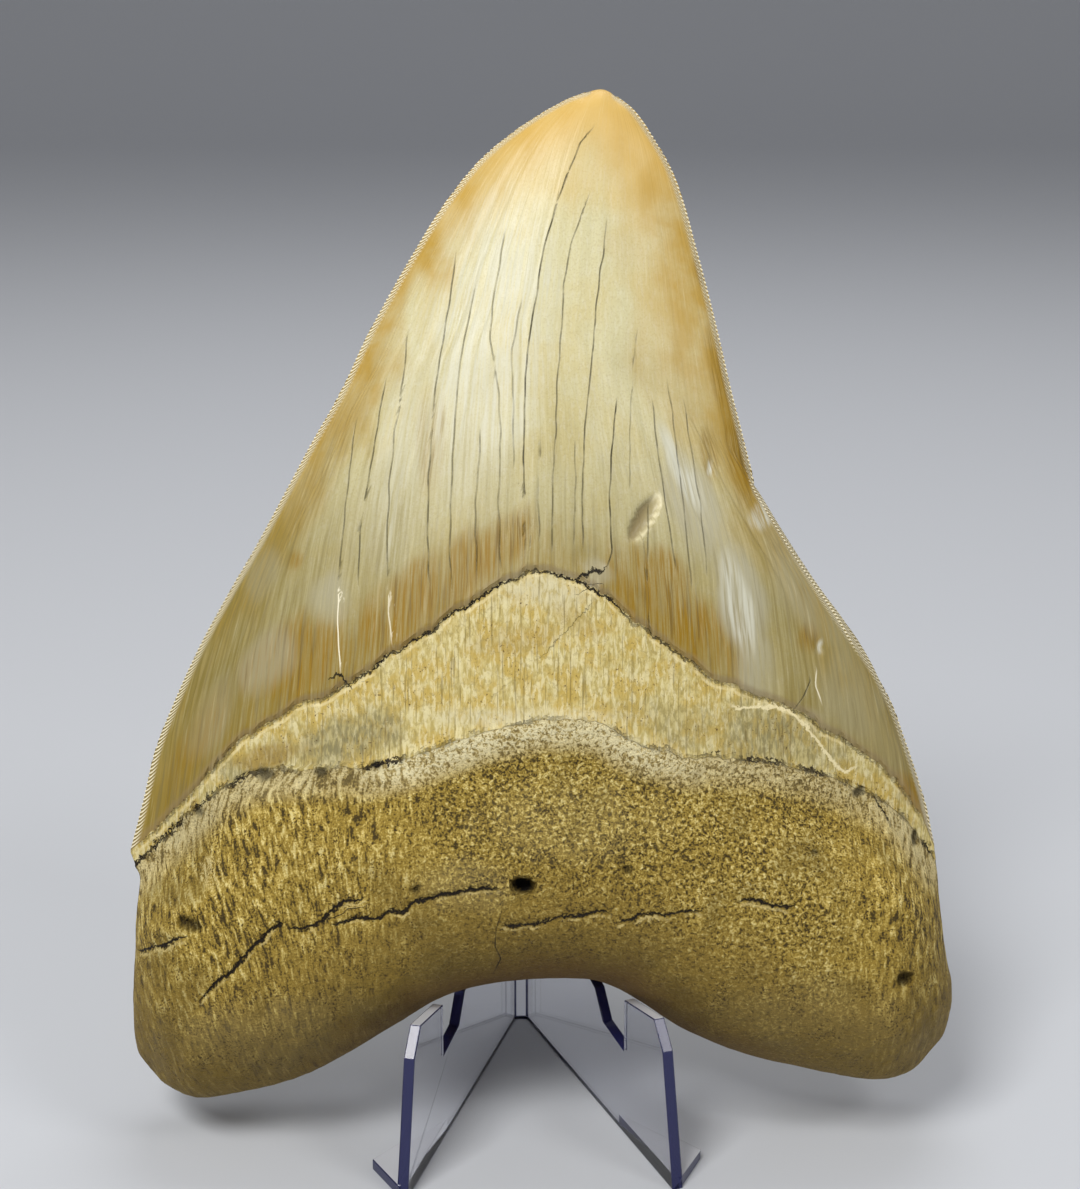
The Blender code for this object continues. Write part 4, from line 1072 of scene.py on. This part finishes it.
def fossil_tooth():
    """Fossil tooth: silky enamel with age cracks, a striped band of bare dentine, and a porous bony root.

    Enamel gives a satin gloss over long fine streaks. Dentine is dull and finely striped. The root is matt,
    with straw-coloured grains standing out of dark, mineral-stained pores.
    """
    made, tree = new_material("fossil_enamel_dentine_and_root")
    value = {name: node(tree, "Attribute", {}, "Fac", attribute_name=name) for name in (
        "warm", "gold", "lower_corner_shade", "band", "amber", "ash", "chalk", "dark", "rust", "fibrous", "rift",
        "split", "pit", "gouge_and_wall_shade", "gouge_lip_highlight", "rim_pale", "enamel_mm", "root_mm", "edge_mm",
        "edge_run", "seam_mm", "seam_strength", "hair_mm", "hair_strength")}
    along = node(tree, "Attribute", {}, "Vector", attribute_name="grain")
    place = node(tree, "VectorMath", {0: node(tree, "TexCoord", {}, "Object"), 1: (1 / MM,) * 3},
                 operation="MULTIPLY")

    # Noise: name, what it follows, wavelengths in millimetres across and along, detail, distortion.
    # The enamel's streaks are about 0.5 mm wide, and its growth lines, really 0.1 mm, are drawn as the
    # thread three times as coarse. The root's pores are really about 0.15 mm, too fine to show, so
    # speckle, grit and fibre are drawn two to four times as coarse
    for name, source, across, up, detail, bent in (
            ("cloud", place, 6.0, 6.0, 3.0, 0.0), ("broad_streak", along, 2.4, 45.0, 2.0, 0.0),
            ("fine_streak", along, 0.5, 16.0, 3.0, 0.0), ("stripe", along, 0.6, 12.0, 3.0, 0.0),
            ("furrow", along, 0.48, 1.5, 3.0, 0.4), ("thread", along, 0.34, 9.0, 2.0, 0.2),
            ("speckle", place, 0.54, 0.54, 4.0, 0.5), ("grit", place, 0.3, 0.3, 2.0, 0.0),
            ("fibre", along, 0.62, 2.3, 4.0, 0.4), ("mottle", place, 3.2, 3.2, 3.0, 0.0),
            ("patch", place, 11.0, 11.0, 2.0, 0.3)):
        scaled = node(tree, "VectorMath", {0: source, 1: (1 / across, 1 / up, 1 / up)},
                      operation="MULTIPLY")
        value[name] = node(tree, "TexNoise", {"Vector": scaled, "Scale": 1.0, "Detail": detail,
                                              "Roughness": 0.6, "Distortion": bent})

    for name, operation, *terms in TOOTH_PATTERNS:
        terms = [value.get(term, term) for term in terms]
        if operation == "RANGE":
            value[name] = node(tree, "MapRange", enumerate(terms), interpolation_type="SMOOTHSTEP")
        elif operation == "MIX":
            value[name] = node(tree, "Mix", zip((0, 2, 3), terms))
        else:
            value[name] = node(tree, "Math", enumerate(terms), operation=operation)

    def coated(colour, coats):
        for share, tint in coats:
            coat = value[tint] if tint in value else linear(tint)
            colour = node(tree, "Mix", {0: value[share], 6: colour, 7: coat}, 2, data_type="RGBA")
        return colour

    for finish, (ground, coats) in TOOTH_FINISHES.items():
        value[finish] = coated(linear(ground), coats)
    colour = coated(value["dentine"], [("on_enamel", "enamel"), ("on_root", "root"), *TOOTH_GROOVES])
    bump = node(tree, "Bump", {"Height": value["height"], "Strength": 1.0, "Distance": MM})
    gloss = node(tree, "MapRange", {0: value["cloud"], 1: 0.3, 2: 0.7, 3: 0.32, 4: 0.42})
    roughness = node(tree, "Mix", {0: value["on_enamel"], 2: 0.55, 3: gloss})
    roughness = node(tree, "Mix", {0: value["on_root"], 2: roughness, 3: 0.7})
    shader = node(tree, "BsdfPrincipled", {"Base Color": colour, "Roughness": roughness, "Normal": bump,
                                           "IOR": 1.55, "Specular IOR Level": 0.28})
    node(tree, "OutputMaterial", {"Surface": shader})
    return made


def acrylic(name, colour, roughness, clearness):
    """One finish of the cast acrylic sheet."""
    made, tree = new_material(name)
    shader = node(tree, "BsdfPrincipled", {"Base Color": linear(colour), "Roughness": roughness,
                                           "IOR": 1.49, "Transmission Weight": clearness})
    node(tree, "OutputMaterial", {"Surface": shader})
    return made


def pale_paper():
    """Matt backdrop paper: plain and pale, with no pattern."""
    made, tree = new_material("matt_backdrop_paper")
    shader = node(tree, "BsdfPrincipled", {"Base Color": linear("#cfd2d8"), "Roughness": 0.75})
    node(tree, "OutputMaterial", {"Surface": shader})
    return made


def backdrop():
    """Pale floor that curves up behind the object."""
    deselect()
    bpy.ops.mesh.primitive_plane_add(size=FLOOR, location=(0.0, 0.0, 0.0))
    made = bpy.context.object
    made.name = "pale_floor"
    mesh = made.data
    behind = [all(mesh.vertices[index].co.y > 0.0 for index in edge.vertices) for edge in mesh.edges]
    edit_edges(made, behind, bpy.ops.mesh.extrude_region_move,
               TRANSFORM_OT_translate={"value": (0.0, 0.0, WALL)})
    apply_modifier(made, "BEVEL", width=WALL_BEND, segments=12, limit_method="ANGLE")
    bpy.ops.object.shade_smooth()
    mesh.materials.append(pale_paper())


def studio():
    """Square soft lights that all face the tooth, and an even weak sky."""
    for name, place, size, power, colour in LIGHTS:
        lamp = bpy.data.lights.new(name, "AREA")
        lamp.shape = "SQUARE"
        lamp.size = size
        lamp.energy = power
        lamp.color = colour
        made = bpy.data.objects.new(name, lamp)
        bpy.context.scene.collection.objects.link(made)
        made.location = place
        made.rotation_euler = (Vector(LIT_PLACE) - Vector(place)).to_track_quat("-Z", "Y").to_euler()
    world = bpy.data.worlds.new("soft_sky")
    world.use_nodes = True
    world.node_tree.nodes["Background"].inputs["Color"].default_value = SKY
    world.node_tree.nodes["Background"].inputs["Strength"].default_value = SKY_STRENGTH
    bpy.context.scene.world = world
    bpy.context.scene.view_settings.view_transform = "Standard"


def camera():
    view = bpy.data.cameras.new("camera")
    view.lens = CAMERA_LENS
    view.sensor_width = 36.0
    view.clip_start = 0.01
    made = bpy.data.objects.new("camera", view)
    bpy.context.scene.collection.objects.link(made)
    made.location = CAMERA_PLACE
    made.rotation_euler = (radians(90.0 - CAMERA_DIP), 0.0, 0.0)
    bpy.context.scene.camera = made


camera()
studio()
backdrop()
for piece, replaced, slot, finishes in (
        (tooth(), "tooth", "fossil_tooth", [fossil_tooth()]),
        (stand(), "stand", "clear_plastic", [acrylic(*finish) for finish in ACRYLIC])):
    for finish in finishes:
        piece.data.materials.append(finish)
    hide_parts(replaced)
    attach(piece, "root")
